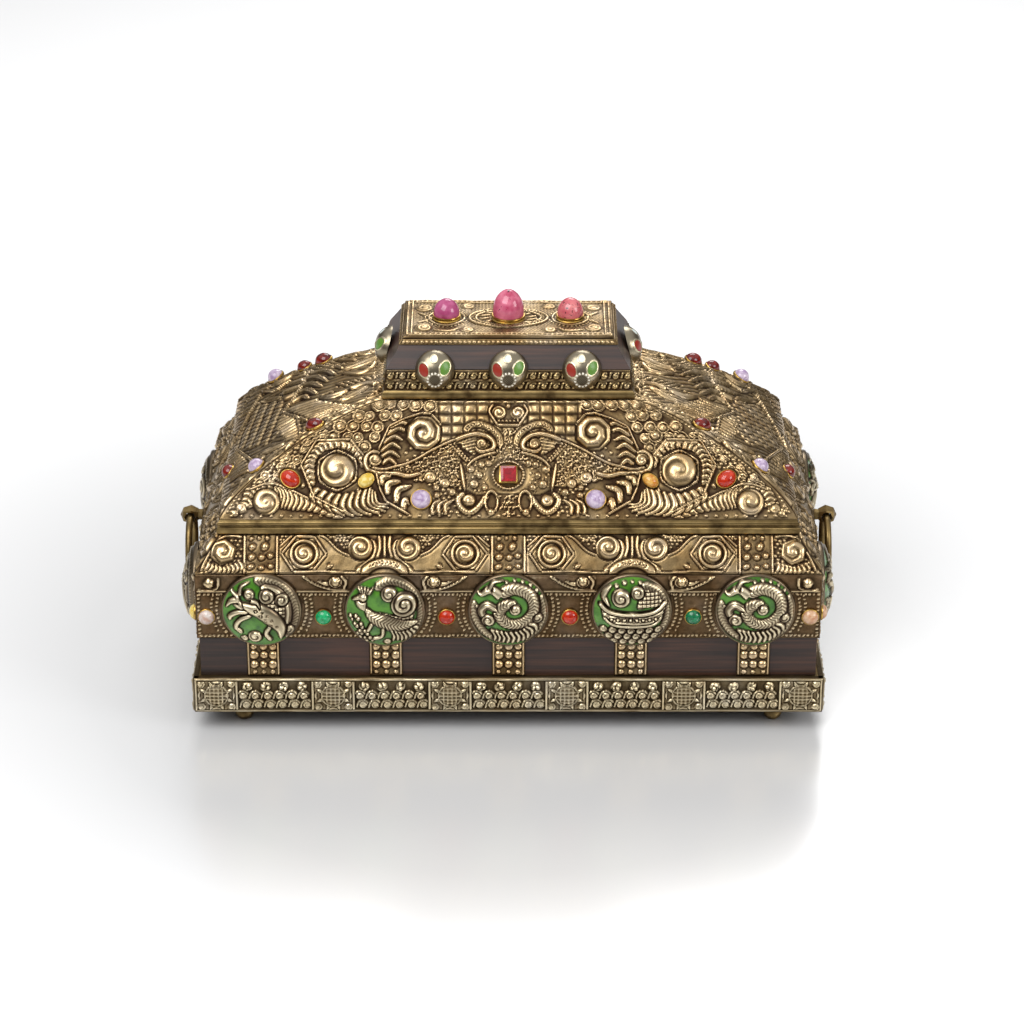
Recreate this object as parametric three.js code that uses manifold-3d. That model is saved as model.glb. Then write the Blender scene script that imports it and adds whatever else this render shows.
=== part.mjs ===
// A long wooden casket under embossed gilt metal: a hollow box on ball feet, a hollow hipped lid that lifts
// off, a bevelled block on top, enamel medallions, cabochons and two ring handles. Millimetres, +Z up, the
// front towards -Y.
import * as THREE from "three";
import { mergeVertices } from "three/addons/utils/BufferGeometryUtils.js";
import { ConvexGeometry } from "three/addons/geometries/ConvexGeometry.js";
import Module from "manifold-3d";

const wasm = await Module();
wasm.setup();

// Main sizes: the body's length and depth, and the height from its foot to the top of the block
const bodyLength = 394;
const bodyDepth = 211;
const casketHeight = 224.6;

// Sizes of the body
const footHeight = 14;
const plinthHeight = casketHeight * 0.1095;
const plinthProud = 3;
const plinthSquare = 28;
const woodBandHeight = casketHeight * 0.1216;
const wallBandHeight = casketHeight * 0.2007;
const coveInset = 15.5;
const coveHeight = casketHeight * 0.0935;
const woodWall = 9;
const floorThickness = 8;
const sheetGauge = 1.2;
const seatGap = 0.3;

// Sizes of the lid and of the block on it
const railHeight = casketHeight * 0.0445;
const railBulge = 1.6;
const roofRise = casketHeight * 0.2685;
const roofRoundness = 1.28;
const lidWall = 6.5;
const lipHeight = 5;
const lipThickness = 3.5;
const lipClearance = 0.5;
const blockLength = bodyLength * 0.3985;
const blockDepth = bodyDepth * 0.3886;
const blockMouldHeight = casketHeight * 0.0276;
const blockMouldBulge = 1.4;
const galleryHeight = casketHeight * 0.061;
const galleryTaper = 1.7;
const bevelHeight = casketHeight * 0.073;
const bevelInset = 10.3;
const plateThickness = 1.6;

// Medallions, straps, stones, handles and feet
const medallionRadius = 25.6;
const medallionHeight = 9.4;
const medallionDrop = 1.2;
const wallStoneDrop = 6.9;
const medallionEndMargin = 41.6;
const medallionSideMargin = 37.5;
const medallionPitchLong = (bodyLength - 2 * medallionEndMargin) / 4;
const medallionPitchShort = bodyDepth - 2 * medallionSideMargin;
const strapWidth = 21;
const domeRadius = 12.5;
const domeHeight = 8.2;
const domePitch = blockLength * 0.295;
const cabochonRadius = 5.2;
const cabochonHeight = 4.6;
const cornerStoneMargin = 6.6;
const squareStone = 9.6;
const squareStoneHeight = 5;
const topStoneRadius = 8.2;
const topStoneHeight = 14.5;
const topStonePitch = blockLength * 0.251;
const centreStoneRadius = 9.8;
const centreStoneHeight = 20.5;
const ringRadius = 24;
const ringThickness = 2.3;
const ringClearance = 0.5;
const knobRadius = 6.6;
const knobReach = 11;
const knobDrop = 10;
const footMarginX = 27;
const footMarginY = 14.5;
const footFlangeRadius = 12;
const footBallRadius = 6;
const footFlat = 3;

// Relief of the embossed sheets
const reliefSink = 0.4;
const leafHeight = 2.2;
const voluteHeight = 2.8;
const bossHeight = 1.7;

// Levels above the table, worked out from the heights
const plinthFoot = footHeight;
const plinthTop = plinthFoot + plinthHeight;
const woodTop = plinthTop + woodBandHeight;
const bodyTop = woodTop + wallBandHeight;
const coveTop = bodyTop + coveHeight;
const railTop = coveTop + railHeight;
const roofTop = railTop + roofRise;
const galleryFoot = roofTop + blockMouldHeight;
const galleryTop = galleryFoot + galleryHeight;
const bevelTop = galleryTop + bevelHeight;
const medallionLevel = woodTop + wallBandHeight / 2 - medallionDrop;

// Half sizes in plan: of the metal skin, and of the wood behind it
const skin = { x: bodyLength / 2, y: bodyDepth / 2 };
const behind = sheetGauge + seatGap;
const wood = { x: skin.x - behind, y: skin.y - behind };
const coveSkinTop = { x: skin.x - coveInset, y: skin.y - coveInset };
const blockHalf = { x: blockLength / 2, y: blockDepth / 2 };
const galleryTopHalf = { x: blockHalf.x - galleryTaper, y: blockHalf.y - galleryTaper };
const plateHalf = { x: galleryTopHalf.x - bevelInset, y: galleryTopHalf.y - bevelInset };

// A closed geometry as a solid for joining and cutting.
function solid(geometry) {
  const bare = geometry.index ? geometry.toNonIndexed() : geometry.clone();
  for (const name of Object.keys(bare.attributes)) if (name !== "position") bare.deleteAttribute(name);
  const merged = mergeVertices(bare, 1e-4);
  return new wasm.Manifold(
    new wasm.Mesh({
      numProp: 3,
      vertProperties: merged.attributes.position.array,
      triVerts: new Uint32Array(merged.index.array),
    }),
  );
}

// A solid back as a flat-shaded geometry.
function geometryOf(made) {
  const mesh = made.getMesh();
  const indexed = new THREE.BufferGeometry();
  indexed.setAttribute("position", new THREE.BufferAttribute(new Float32Array(mesh.vertProperties), 3));
  indexed.setIndex(new THREE.BufferAttribute(new Uint32Array(mesh.triVerts), 1));
  const flat = indexed.toNonIndexed();
  flat.computeVertexNormals();
  return flat;
}

// The solids of several geometries, joined.
function joined(geometries) {
  return geometries.map(solid).reduce((all, one) => all.add(one));
}

// A stack of centred rectangles, each {x, y, z} with half sizes x and y at height z, as one convex solid.
function stack(levels) {
  const corners = levels.flatMap(({ x, y, z }) =>
    [[-x, -y], [x, -y], [x, y], [-x, y]].map(([cx, cy]) => new THREE.Vector3(cx, cy, z)),
  );
  return solid(new ConvexGeometry(corners));
}

// One level of a stack: a half size in plan, made smaller all round by inset.
function level(half, z, inset = 0) {
  return { x: half.x - inset, y: half.y - inset, z };
}

// The half size of the roof's skin at a share of its rise: flat on the long sides, rounded on the short ones.
function roofHalf(share) {
  const bulge = Math.pow(Math.max(0, 1 - Math.pow(share, roofRoundness)), 1 / roofRoundness);
  return {
    x: blockHalf.x + (coveSkinTop.x - blockHalf.x) * bulge,
    y: coveSkinTop.y + (blockHalf.y - coveSkinTop.y) * share,
  };
}

const roofSteps = 7;
const roofShares = Array.from({ length: roofSteps + 1 }, (_, i) => i / roofSteps);
const roofFall = 0.75;

// The roof's body inside its skin: inset is taken off each side, and a share of it off the height. With a
// foot, it goes on straight down to that level.
function roofStack(inset, foot = null) {
  const levels = roofShares.map((share) =>
    level(roofHalf(share), railTop + share * roofRise - inset * roofFall, inset),
  );
  return stack(foot === null ? levels : [{ ...levels[0], z: foot }, ...levels]);
}

// The frame of an embossed panel: x along the side, y up its face, z out of it. Side 0 is the front, 1 is
// the right.
function panelFrame(side, reach, foot, lean = Math.PI / 2) {
  return new THREE.Matrix4()
    .makeRotationZ((side * Math.PI) / 2)
    .multiply(new THREE.Matrix4().makeTranslation(0, -reach, foot))
    .multiply(new THREE.Matrix4().makeRotationX(lean));
}

// A raised boss with a point, its foot sunk into the panel.
function boss(x, y, radius, height = bossHeight, sides = 4) {
  const cone = new THREE.ConeGeometry(radius, height + reliefSink, sides);
  cone.rotateY(Math.PI / sides).rotateX(Math.PI / 2);
  return cone.translate(x, y, (height - reliefSink) / 2);
}

// A low turned form on a panel, from pairs of radius and height.
function turned(x, y, profile, sides, stretch = 1) {
  const lathe = new THREE.LatheGeometry(
    profile.map(([r, h]) => new THREE.Vector2(r, h)),
    sides,
  );
  return lathe.rotateX(Math.PI / 2).scale(stretch, 1, 1).translate(x, y, 0);
}

// A cabochon in its collet.
function cabochon(x, y, radius = cabochonRadius, height = cabochonHeight, stretch = 1) {
  const profile = [[0, -reliefSink], [radius, -reliefSink], [radius * 0.8, height * 0.7], [0, height]];
  return turned(x, y, profile, 6, stretch);
}

// A flat raised form with a given outline.
function plate(points, height) {
  const shape = new THREE.Shape(points.map(([x, y]) => new THREE.Vector2(x, y)));
  const made = new THREE.ExtrudeGeometry(shape, { depth: height + reliefSink, bevelEnabled: false });
  return made.translate(0, 0, -reliefSink);
}

// A six-cornered scroll: a raised band that winds in. Turning is 1 or -1, start the angle of its outer end.
function volute(x, y, radius, turning = 1, start = 0, height = voluteHeight, turns = 1) {
  const corners = 6;
  const steps = Math.round(turns * corners);
  const outer = [];
  const inner = [];
  for (let i = 0; i <= steps; i++) {
    const angle = start + (turning * i * 2 * Math.PI) / corners;
    const mid = radius * (0.86 - (0.7 * i) / steps);
    const half = radius * (0.14 - (0.07 * i) / steps);
    outer.push([x + (mid + half) * Math.cos(angle), y + (mid + half) * Math.sin(angle)]);
    inner.push([x + (mid - half) * Math.cos(angle), y + (mid - half) * Math.sin(angle)]);
  }
  return plate([...outer, ...inner.reverse()], height);
}

// A curved leaf between two points, bowed to one side and pointed at both ends.
function leaf([x0, y0], [x1, y1], bow, width, height = leafHeight, steps = 3) {
  const length = Math.hypot(x1 - x0, y1 - y0);
  const along = [(x1 - x0) / length, (y1 - y0) / length];
  const side = [];
  const back = [];
  for (let i = 0; i <= steps; i++) {
    const t = i / steps;
    const swell = Math.sin(Math.PI * t);
    const at = (offset) => [
      x0 + along[0] * length * t - along[1] * offset,
      y0 + along[1] * length * t + along[0] * offset,
    ];
    side.push(at(bow * swell + (width / 2) * swell));
    if (i > 0 && i < steps) back.push(at(bow * swell - (width / 2) * swell));
  }
  return plate([...side, ...back.reverse()], height);
}

// The same relief on both halves of a panel.
function mirrored(forms) {
  const flipped = forms.map((form) => {
    const other = form.index ? form.toNonIndexed() : form.clone();
    const at = other.attributes.position;
    for (let i = 0; i < at.count; i += 3) {
      const corners = [0, 2, 1].map((k) => [-at.getX(i + k), at.getY(i + k), at.getZ(i + k)]);
      corners.forEach(([px, py, pz], k) => at.setXYZ(i + k, px, py, pz));
    }
    return other;
  });
  return [...forms, ...flipped];
}

// Relief raised on a solid, on the panel whose frame is given.
function emboss(base, forms, frame) {
  return forms.reduce((all, form) => all.add(solid(form.clone().applyMatrix4(frame))), base);
}

// Materials
const looks = {
  wood: { color: 0x3a2420, roughness: 0.5, metalness: 0 },
  gilt: { color: 0x8c7346, roughness: 0.36, metalness: 1 },
  darkGilt: { color: 0x5c4a30, roughness: 0.42, metalness: 1 },
  enamel: { color: 0x5c9a35, roughness: 0.2, metalness: 0 },
  silver: { color: 0xa9a294, roughness: 0.28, metalness: 1 },
  rhodonite: { color: 0xc9607c, roughness: 0.18, metalness: 0 },
};
const material = Object.fromEntries(
  Object.entries(looks).map(([name, look]) => [name, new THREE.MeshStandardMaterial(look)]),
);

const casket = new THREE.Group();

// Adds a named piece to a group, at the group's own origin unless a place is given.
function piece(name, geometry, look, group = casket, place = [0, 0, 0]) {
  const mesh = new THREE.Mesh(geometry, material[look]);
  mesh.name = name;
  mesh.position.set(...place);
  group.add(mesh);
  return mesh;
}

// The four sides of the casket, as groups that turn a piece made for the front round to its own side.
const sides = ["front", "right", "back", "left"].map((name, i) => {
  const group = new THREE.Group();
  group.rotation.z = (i * Math.PI) / 2;
  casket.add(group);
  const long = i % 2 === 0;
  return { name, index: i, group, long, width: long ? skin.x : skin.y, reach: long ? skin.y : skin.x };
});

// The back is finished more plainly than the front.
const backSide = 2;

// Where the medallions stand along a side.
function medallionPlaces(long) {
  const steps = long ? [-2, -1, 0, 1, 2] : [-0.5, 0.5];
  return steps.map((i) => i * (long ? medallionPitchLong : medallionPitchShort));
}

// The wooden box: upright walls, a sloping shoulder, and a lip that keeps the lid in place.
function makeCarcase() {
  const cavity = woodWall;
  const outer = stack([level(wood, plinthFoot), level(wood, bodyTop), level(wood, coveTop, coveInset)]);
  const hollow = stack([
    level(wood, plinthFoot + floorThickness, cavity),
    level(wood, bodyTop, cavity),
    level(wood, coveTop, cavity + coveInset),
  ]);
  const mouth = level(wood, coveTop, cavity + coveInset);
  const throat = stack([{ ...mouth, z: coveTop - 1 }, { ...mouth, z: coveTop + 2 * lipHeight }]);
  const lip = stack([
    { ...level(mouth, coveTop - 1, -lipThickness) },
    { ...level(mouth, coveTop + lipHeight, -lipThickness) },
  ]);
  return outer.add(lip).subtract(hollow).subtract(throat);
}
piece("carcase", geometryOf(makeCarcase()), "wood");

// The embossed plinth strip: framed squares with a rosette, and runs of bosses between them.
function makePlinth() {
  const outer = level(skin, 0, -plinthProud);
  const run = (half) => ({ ...half, z: 0 });
  let band = stack([{ ...run(outer), z: plinthFoot }, { ...run(outer), z: plinthTop }]).subtract(
    stack([level(wood, plinthFoot - 1, -seatGap), level(wood, plinthTop + 1, -seatGap)]),
  );
  const squareProud = 0.9;
  const half = { x: plinthSquare / 2 - squareProud, y: plinthHeight / 2 - squareProud };
  const foot = { x: plinthSquare / 2, y: plinthHeight / 2 - seatGap };
  const tile = stack([{ ...foot, z: -reliefSink }, { ...half, z: squareProud }]);
  const tileShape = geometryOf(tile).translate(0, plinthHeight / 2, 0);
  for (const { index, long } of sides) {
    const width = long ? outer.x : outer.y;
    const count = long ? 6 : 4;
    const pitch = (2 * width - plinthSquare) / (count - 1);
    const forms = [];
    for (let i = 0; i < count; i++) {
      const x = -width + plinthSquare / 2 + i * pitch;
      forms.push(tileShape.clone().translate(x, 0, 0));
      if (i === count - 1) continue;
      const bosses = 4;
      const gap = pitch - plinthSquare;
      for (let k = 0; k < bosses && index !== backSide; k++) {
        forms.push(boss(x + plinthSquare / 2 + (gap * (k + 0.5)) / bosses, plinthHeight * 0.7, 4, 2));
      }
    }
    band = emboss(band, forms, panelFrame(index, long ? outer.y : outer.x, plinthFoot));
  }
  return band;
}
piece("plinth_band", geometryOf(makePlinth()), "gilt");

// Where the wall's stones stand along a side: at the corners and, if asked, between the medallions.
function wallStonePlaces(between, width) {
  const inner = between ? [-1.5, -0.5, 0.5, 1.5].map((i) => i * medallionPitchLong) : [];
  return [-(width - cornerStoneMargin), ...inner, width - cornerStoneMargin];
}

// The wall sheet round the box, with its frieze of scrolls above the frames and its stones.
function makeWallBand() {
  let band = stack([level(skin, woodTop), level(skin, bodyTop - seatGap)]).subtract(
    stack([level(skin, woodTop - 1, sheetGauge), level(skin, bodyTop + 1, sheetGauge)]),
  );
  const friezeLevel = wallBandHeight - 6;
  for (const { index, long, width, reach } of sides) {
    const stones = wallStonePlaces(long && index !== backSide, width);
    const forms = stones.map((x) => cabochon(x, wallBandHeight / 2 - wallStoneDrop));
    const places = medallionPlaces(long);
    for (let i = 0; i + 1 < places.length; i++) {
      const x = (places[i] + places[i + 1]) / 2;
      const offset = (places[i + 1] - places[i]) / 2 - medallionRadius - 4;
      forms.push(boss(x - offset, friezeLevel, 3.4), boss(x + offset, friezeLevel, 3.4));
    }
    band = emboss(band, forms, panelFrame(index, reach, woodTop));
  }
  return band;
}
piece("wall_band", geometryOf(makeWallBand()), "darkGilt");

// Straps over the wood under each medallion, with rows of bosses unless plain.
function strapGeometry(plain) {
  const height = woodBandHeight - 2 * seatGap;
  const base = new THREE.BoxGeometry(strapWidth, height, sheetGauge);
  base.translate(0, height / 2, -sheetGauge / 2);
  const forms = [];
  const columns = 3;
  for (const row of plain ? [] : [0.24, 0.56]) {
    for (let k = 0; k < columns; k++) forms.push(boss(((k - 1) * strapWidth) / 3.3, height * row, 4));
  }
  return geometryOf(emboss(solid(base), forms, new THREE.Matrix4()));
}

// The bent body of each medallion's figure within a circle of radius one: from, to, bow and width.
const figures = {
  beast: [[-0.7, 0.2], [0.6, -0.4], 0.3, 0.5],
  bird: [[-0.55, 0.5], [0.6, -0.45], -0.3, 0.5],
  dragon: [[-0.6, 0.35], [0.6, -0.2], -0.5, 0.42],
  ship: [[-0.7, -0.1], [0.7, -0.1], 0.12, 0.5],
};

// A domed medallion, its flat back on the panel, with its figure if it has one.
function medallionGeometry(figure = null) {
  const rings = [[0, 0], [1, 0], [1, 0.22], [0.66, 0.8], [0, 1]];
  const domed = (rise, count) =>
    solid(turned(0, 0, rings.map(([r, h]) => [r * medallionRadius, h * (medallionHeight + rise)]), count));
  if (!figure) return geometryOf(domed(0, 16));
  const [from, to, bow, width] = figures[figure];
  const at = ([x, y]) => [x * medallionRadius, y * medallionRadius];
  const body = leaf(at(from), at(to), bow * medallionRadius, width * medallionRadius, medallionHeight + 2);
  return geometryOf(domed(0, 16).add(solid(body).intersect(domed(1.6, 6))));
}
const figureOrder = ["beast", "bird", "dragon", "ship", "dragon"];
const plainMedallion = medallionGeometry();
const [strapShape, plainStrap] = [false, true].map(strapGeometry);
for (const { name, index, group, long, reach } of sides) {
  medallionPlaces(long).forEach((x, i) => {
    const shape = index === 0 ? medallionGeometry(figureOrder[i]) : plainMedallion;
    const medallion = piece(`medallion_${name}_${i + 1}`, shape, "enamel", group);
    medallion.position.set(x, -(reach + seatGap), medallionLevel);
    medallion.rotation.x = Math.PI / 2;
    const cover = index === backSide ? plainStrap : strapShape;
    const strap = piece(`strap_${name}_${i + 1}`, cover, "gilt", group);
    strap.position.set(x, -(reach - behind + seatGap + sheetGauge), plinthTop + seatGap);
    strap.rotation.x = Math.PI / 2;
  });
}

// The sloping sheet round the shoulder, with facing pairs of scrolls between upright straps of bosses.
function makeCove() {
  const slope = Math.hypot(coveInset, coveHeight);
  const lean = Math.atan2(coveHeight, coveInset);
  const past = 2;
  const shift = (past * coveInset) / coveHeight;
  const topInset = (coveInset * (coveHeight - seatGap)) / coveHeight;
  let band = stack([level(skin, bodyTop), level(skin, coveTop - seatGap, topInset)]);
  band = band.subtract(
    stack([
      level(skin, bodyTop - past, sheetGauge - shift),
      level(skin, coveTop + past, sheetGauge + coveInset + shift),
    ]),
  );
  for (const { index, long, width, reach } of sides) {
    const half = width - coveInset;
    const straps = long ? [-2, 0, 2].map((i) => i * medallionPitchLong) : medallionPlaces(false);
    const forms = [];
    for (const x of index === backSide ? [] : straps) {
      for (const [dx, dy] of [[-0.22, 0.3], [0.22, 0.3], [-0.22, 0.66], [0.22, 0.66]]) {
        forms.push(boss(x + dx * strapWidth, slope * dy, 3.2, bossHeight, 5));
      }
    }
    for (let i = 0; i + 1 < straps.length; i++) {
      const centre = (straps[i] + straps[i + 1]) / 2;
      const span = (straps[i + 1] - straps[i]) / 2 - strapWidth / 2;
      const scrolls = [volute(-span + 17, slope * 0.53, 10.6, -1, Math.PI / 3)];
      const sweep = leaf([-span + 29, slope * 0.25], [-9, slope * 0.3], 2, 9);
      const centrepiece = [sweep, boss(-13, slope * 0.68, 5.2, 2.2)];
      const motif = mirrored(index === 0 ? [...scrolls, ...centrepiece] : scrolls);
      if (index !== backSide) forms.push(...motif.map((form) => form.clone().translate(centre, 0, 0)));
    }
    if (long) forms.push(...mirrored([boss(half - 6, slope * 0.5, 6.5, 2.2)]));
    band = emboss(band, forms, panelFrame(index, reach, bodyTop, lean));
  }
  return band;
}
piece("cove_sheet", geometryOf(makeCove()), "gilt");

// A rectangular moulding with a given bulge: each entry is a share of the height and a share of the bulge.
function mouldingRing(half, foot, height, bulge, inner, steps) {
  let ring = null;
  for (let i = 0; i + 1 < steps.length; i++) {
    const slice = stack([
      level(half, foot + steps[i][0] * height, -steps[i][1] * bulge),
      level(half, foot + steps[i + 1][0] * height, -steps[i + 1][1] * bulge),
    ]);
    ring = ring ? ring.add(slice) : slice;
  }
  return ring.subtract(stack([{ ...inner, z: foot - 1 }, { ...inner, z: foot + height + 1 }]));
}
const reeds = [[0, 0.2], [0.14, 1], [0.42, 1], [0.56, 0.1], [0.64, 0.55], [0.84, 0.55], [1, 0]];
const railInner = level(coveSkinTop, 0, behind - seatGap);
piece(
  "lid_rail",
  geometryOf(mouldingRing(coveSkinTop, coveTop + seatGap, railHeight - seatGap, railBulge, railInner, reeds)),
  "gilt",
);

// The wooden shell of the lid, hollow underneath, with a rebate that goes over the lip of the box.
function makeLidShell() {
  const mouth = level(wood, 0, woodWall + coveInset - lipThickness - lipClearance);
  const rebate = stack([{ ...mouth, z: coveTop - 1 }, { ...mouth, z: coveTop + lipHeight + 1 }]);
  return roofStack(behind, coveTop + seatGap)
    .subtract(roofStack(behind + lidWall, coveTop - 1))
    .subtract(rebate);
}
piece("lid_shell", geometryOf(makeLidShell()), "wood");

// The long roof sheets: a two-headed bird under a crown between scrolling leaves, in raised forms.
const roofSlope = Math.hypot(roofRise, coveSkinTop.y - blockHalf.y);
const roofLean = Math.atan2(roofRise, coveSkinTop.y - blockHalf.y);
function longRoofRelief(plain) {
  const at = (x, y) => [(x / 100) * coveSkinTop.x, (y / 100) * roofSlope];
  const scrolls = [
    volute(...at(-29.5, 73), 11, 1, Math.PI),
    volute(...at(-59.5, 33.5), 14, 1, 0),
    leaf(at(-46, 45), at(-15, 55), -6, 10, voluteHeight),
  ];
  const bird = [
    volute(...at(-84, 13), 7.6, -1, Math.PI, leafHeight),
    leaf(at(-50.5, 9), at(-36, 11.5), 4, 8),
    leaf(at(-4.5, 62), at(-14.5, 75), -5, 7, voluteHeight),
    leaf(at(-13, 46), at(-9.5, 23), -3, 6),
    volute(...at(-14, 11.5), 6.6, -1, Math.PI / 2, leafHeight),
    leaf(at(-67, 59), at(-48.5, 59), -6, 6),
    leaf(at(-74, 18), at(-63, 8), 2, 5),
  ];
  const stones = [
    cabochon(...at(-30.5, 17), 6.6, 6),
    cabochon(...at(-49.5, 30), 5, 4, 1.2),
    cabochon(...at(-75.5, 33), 6, 5, 1.2),
  ];
  const crown = plate([at(-4, 80), at(4, 80), at(6.5, 93), at(0, 87), at(-6.5, 93)], voluteHeight);
  const breast = plate([at(-6.5, 28), at(6.5, 28), at(5, 55), at(-5, 55)], leafHeight);
  const stone = new THREE.BoxGeometry(squareStone, squareStone, squareStoneHeight);
  stone.translate(...at(0, 36.5), squareStoneHeight / 2);
  const shown = [...mirrored([...scrolls, ...bird, ...stones]), crown, breast, stone];
  return plain ? mirrored([...scrolls, ...stones]) : shown;
}
function makeLongRoofSheet(plain) {
  const edge = seatGap * 1.5;
  const right = roofShares.map((share) => [roofHalf(share).x - edge, share * roofSlope]);
  const left = right.map(([x, y]) => [-x, y]).reverse();
  const shape = new THREE.Shape([...right, ...left].map(([x, y]) => new THREE.Vector2(x, y)));
  const base = new THREE.ExtrudeGeometry(shape, { depth: sheetGauge, bevelEnabled: false });
  base.translate(0, 0, -sheetGauge);
  const frame = panelFrame(0, coveSkinTop.y, railTop, roofLean);
  const room = stack([{ ...skin, z: railTop + seatGap }, { ...skin, z: roofTop - seatGap }]);
  return geometryOf(emboss(solid(base.applyMatrix4(frame)), longRoofRelief(plain), frame).intersect(room));
}
for (const { name, index, group } of sides.filter((side) => side.long)) {
  piece(`roof_sheet_${name}`, makeLongRoofSheet(index === backSide), "gilt", group);
}

// A short roof sheet, bent over the rounded end, with winged forms raised on it, as made for the right end.
function makeShortRoofSheet() {
  const clear = behind / Math.sin(roofLean) + seatGap;
  const edges = [[coveSkinTop.y - clear, railTop + seatGap], [blockHalf.y - clear, roofTop - seatGap]];
  const ends = [blockHalf.x + seatGap, skin.x];
  const corner = (x, y, z) => [new THREE.Vector3(x, y, z), new THREE.Vector3(x, -y, z)];
  const wedge = new ConvexGeometry(edges.flatMap(([y, z]) => ends.flatMap((x) => corner(x, y, z))));
  const shellOf = (rise) => roofStack(-rise).subtract(roofStack(sheetGauge));
  const base = shellOf(0).intersect(solid(wedge));
  const tilt = Math.PI / 5;
  const wings = mirrored([
    leaf([-8, 74], [-58, 20], 9, 15, 60),
    leaf([-8, 46], [-40, 14], 6, 10, 60),
  ]);
  const frame = new THREE.Matrix4()
    .makeTranslation(coveSkinTop.x - 18, 0, railTop - 12)
    .multiply(new THREE.Matrix4().makeRotationZ(Math.PI / 2))
    .multiply(new THREE.Matrix4().makeRotationX(tilt));
  const raised = wings
    .map((form) => solid(form.clone().applyMatrix4(frame)))
    .reduce((all, one) => all.add(one))
    .intersect(shellOf(leafHeight * 0.8))
    .intersect(solid(wedge));
  return base.add(raised);
}
const shortRoofSheet = geometryOf(makeShortRoofSheet());
for (const { name, index } of sides.filter((side) => !side.long)) {
  const sheet = piece(`roof_sheet_${name}`, shortRoofSheet, "gilt");
  sheet.rotation.z = (index - 1) * (Math.PI / 2);
}

// The bevelled wooden block on the lid.
function makeBlock() {
  const core = level(galleryTopHalf, 0, behind);
  const body = stack([{ ...core, z: roofTop + seatGap }, { ...core, z: galleryTop + seatGap }]);
  const bevel = stack([level(galleryTopHalf, galleryTop + seatGap), level(plateHalf, bevelTop)]);
  return body.add(bevel);
}
piece("block", geometryOf(makeBlock()), "wood");

// The metal round the foot of the block: a half-round moulding under an embossed strip of small scrolls.
function makeGallery() {
  const inner = level(galleryTopHalf, 0, behind - seatGap);
  const foot = roofTop + seatGap;
  const bead = [[0, 0.3], [0.2, 1], [0.7, 1], [0.9, 0.2], [1, 0]];
  let ring = mouldingRing(blockHalf, foot, blockMouldHeight - seatGap, blockMouldBulge, inner, bead);
  const strip = stack([level(blockHalf, galleryFoot - 1), level(galleryTopHalf, galleryTop)]);
  ring = ring.add(strip.subtract(stack([{ ...inner, z: roofTop }, { ...inner, z: galleryTop + 1 }])));
  for (const { index, long } of sides) {
    const width = long ? galleryTopHalf.x : galleryTopHalf.y;
    const domes = long ? [-domePitch, 0, domePitch] : [0];
    const count = long ? 12 : 6;
    const forms = [];
    for (let i = 0; i < count; i++) {
      const x = -width + ((i + 0.5) * 2 * width) / count;
      if (domes.every((d) => Math.abs(x - d) > domeRadius)) forms.push(boss(x, galleryHeight * 0.5, 4, 1.5));
    }
    const reach = (long ? blockHalf.y : blockHalf.x) - galleryTaper / 2;
    ring = emboss(ring, forms, panelFrame(index, reach, galleryFoot));
  }
  return ring;
}
piece("block_gallery", geometryOf(makeGallery()), "gilt");

// The domed buttons on the block, leaning halfway between the strip and the bevel.
const bevelLean = Math.atan2(bevelInset, bevelHeight);
const domeShape = geometryOf(
  solid(
    turned(0, 0, [[0, 0], [domeRadius, 0], [domeRadius, 1.6], [domeRadius * 0.68, 6.4], [0, domeHeight]], 10),
  ),
);
for (const { name, group, long } of sides) {
  const places = long ? [-domePitch, 0, domePitch] : [0];
  places.forEach((x, i) => {
    const dome = piece(long ? `dome_${name}_${i + 1}` : `dome_${name}`, domeShape, "silver", group);
    const lean = bevelLean / 2;
    const out = (long ? galleryTopHalf.y : galleryTopHalf.x) + seatGap * 1.5;
    dome.position.set(x, -out * 1, galleryTop + seatGap);
    dome.rotation.x = Math.PI / 2 - lean;
  });
}

// The embossed plate on the block, with a raised border and an oval round the middle stone.
function makeTopPlate() {
  const base = stack([
    level(plateHalf, bevelTop + seatGap),
    level(plateHalf, bevelTop + seatGap + plateThickness),
  ]);
  const oval = (x, rx, ry, sides, height) => {
    const foot = [ry - 1.6, -reliefSink];
    const ring = turned(0, 0, [foot, [ry, -reliefSink], [ry - 0.8, height], foot], sides);
    return ring.scale(rx / ry, 1, 1).translate(x, 0, 0);
  };
  const forms = [
    oval(0, 25, 15, 12, 1.4),
    ...mirrored([
      oval(-topStonePitch, 12, 12, 8, 1.2),
      boss(-57, 0, 5, 1.2, 6),
    ]),
  ];
  return emboss(base, forms, new THREE.Matrix4().makeTranslation(0, 0, bevelTop + seatGap + plateThickness));
}
piece("top_plate", geometryOf(makeTopPlate()), "gilt");

// The three tall cabochons on the plate, each with its collet.
function tallStone(radius, height) {
  const rings = [[0, 0], [1.12, 0], [1.1, 0.14], [0.98, 0.16], [0.96, 0.48], [0.66, 0.86], [0, 1]];
  return geometryOf(solid(turned(0, 0, rings.map(([r, h]) => [r * radius, h * height]), 10)));
}
const plateTop = bevelTop + 2 * seatGap + plateThickness;
const sideStone = tallStone(topStoneRadius, topStoneHeight);
const centreStone = tallStone(centreStoneRadius, centreStoneHeight);
piece("top_stone_left", sideStone, "rhodonite", casket, [-topStonePitch, 0, plateTop]);
piece("top_stone_centre", centreStone, "rhodonite", casket, [0, 0, plateTop]);
piece("top_stone_right", sideStone, "rhodonite", casket, [topStonePitch, 0, plateTop]);

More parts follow.
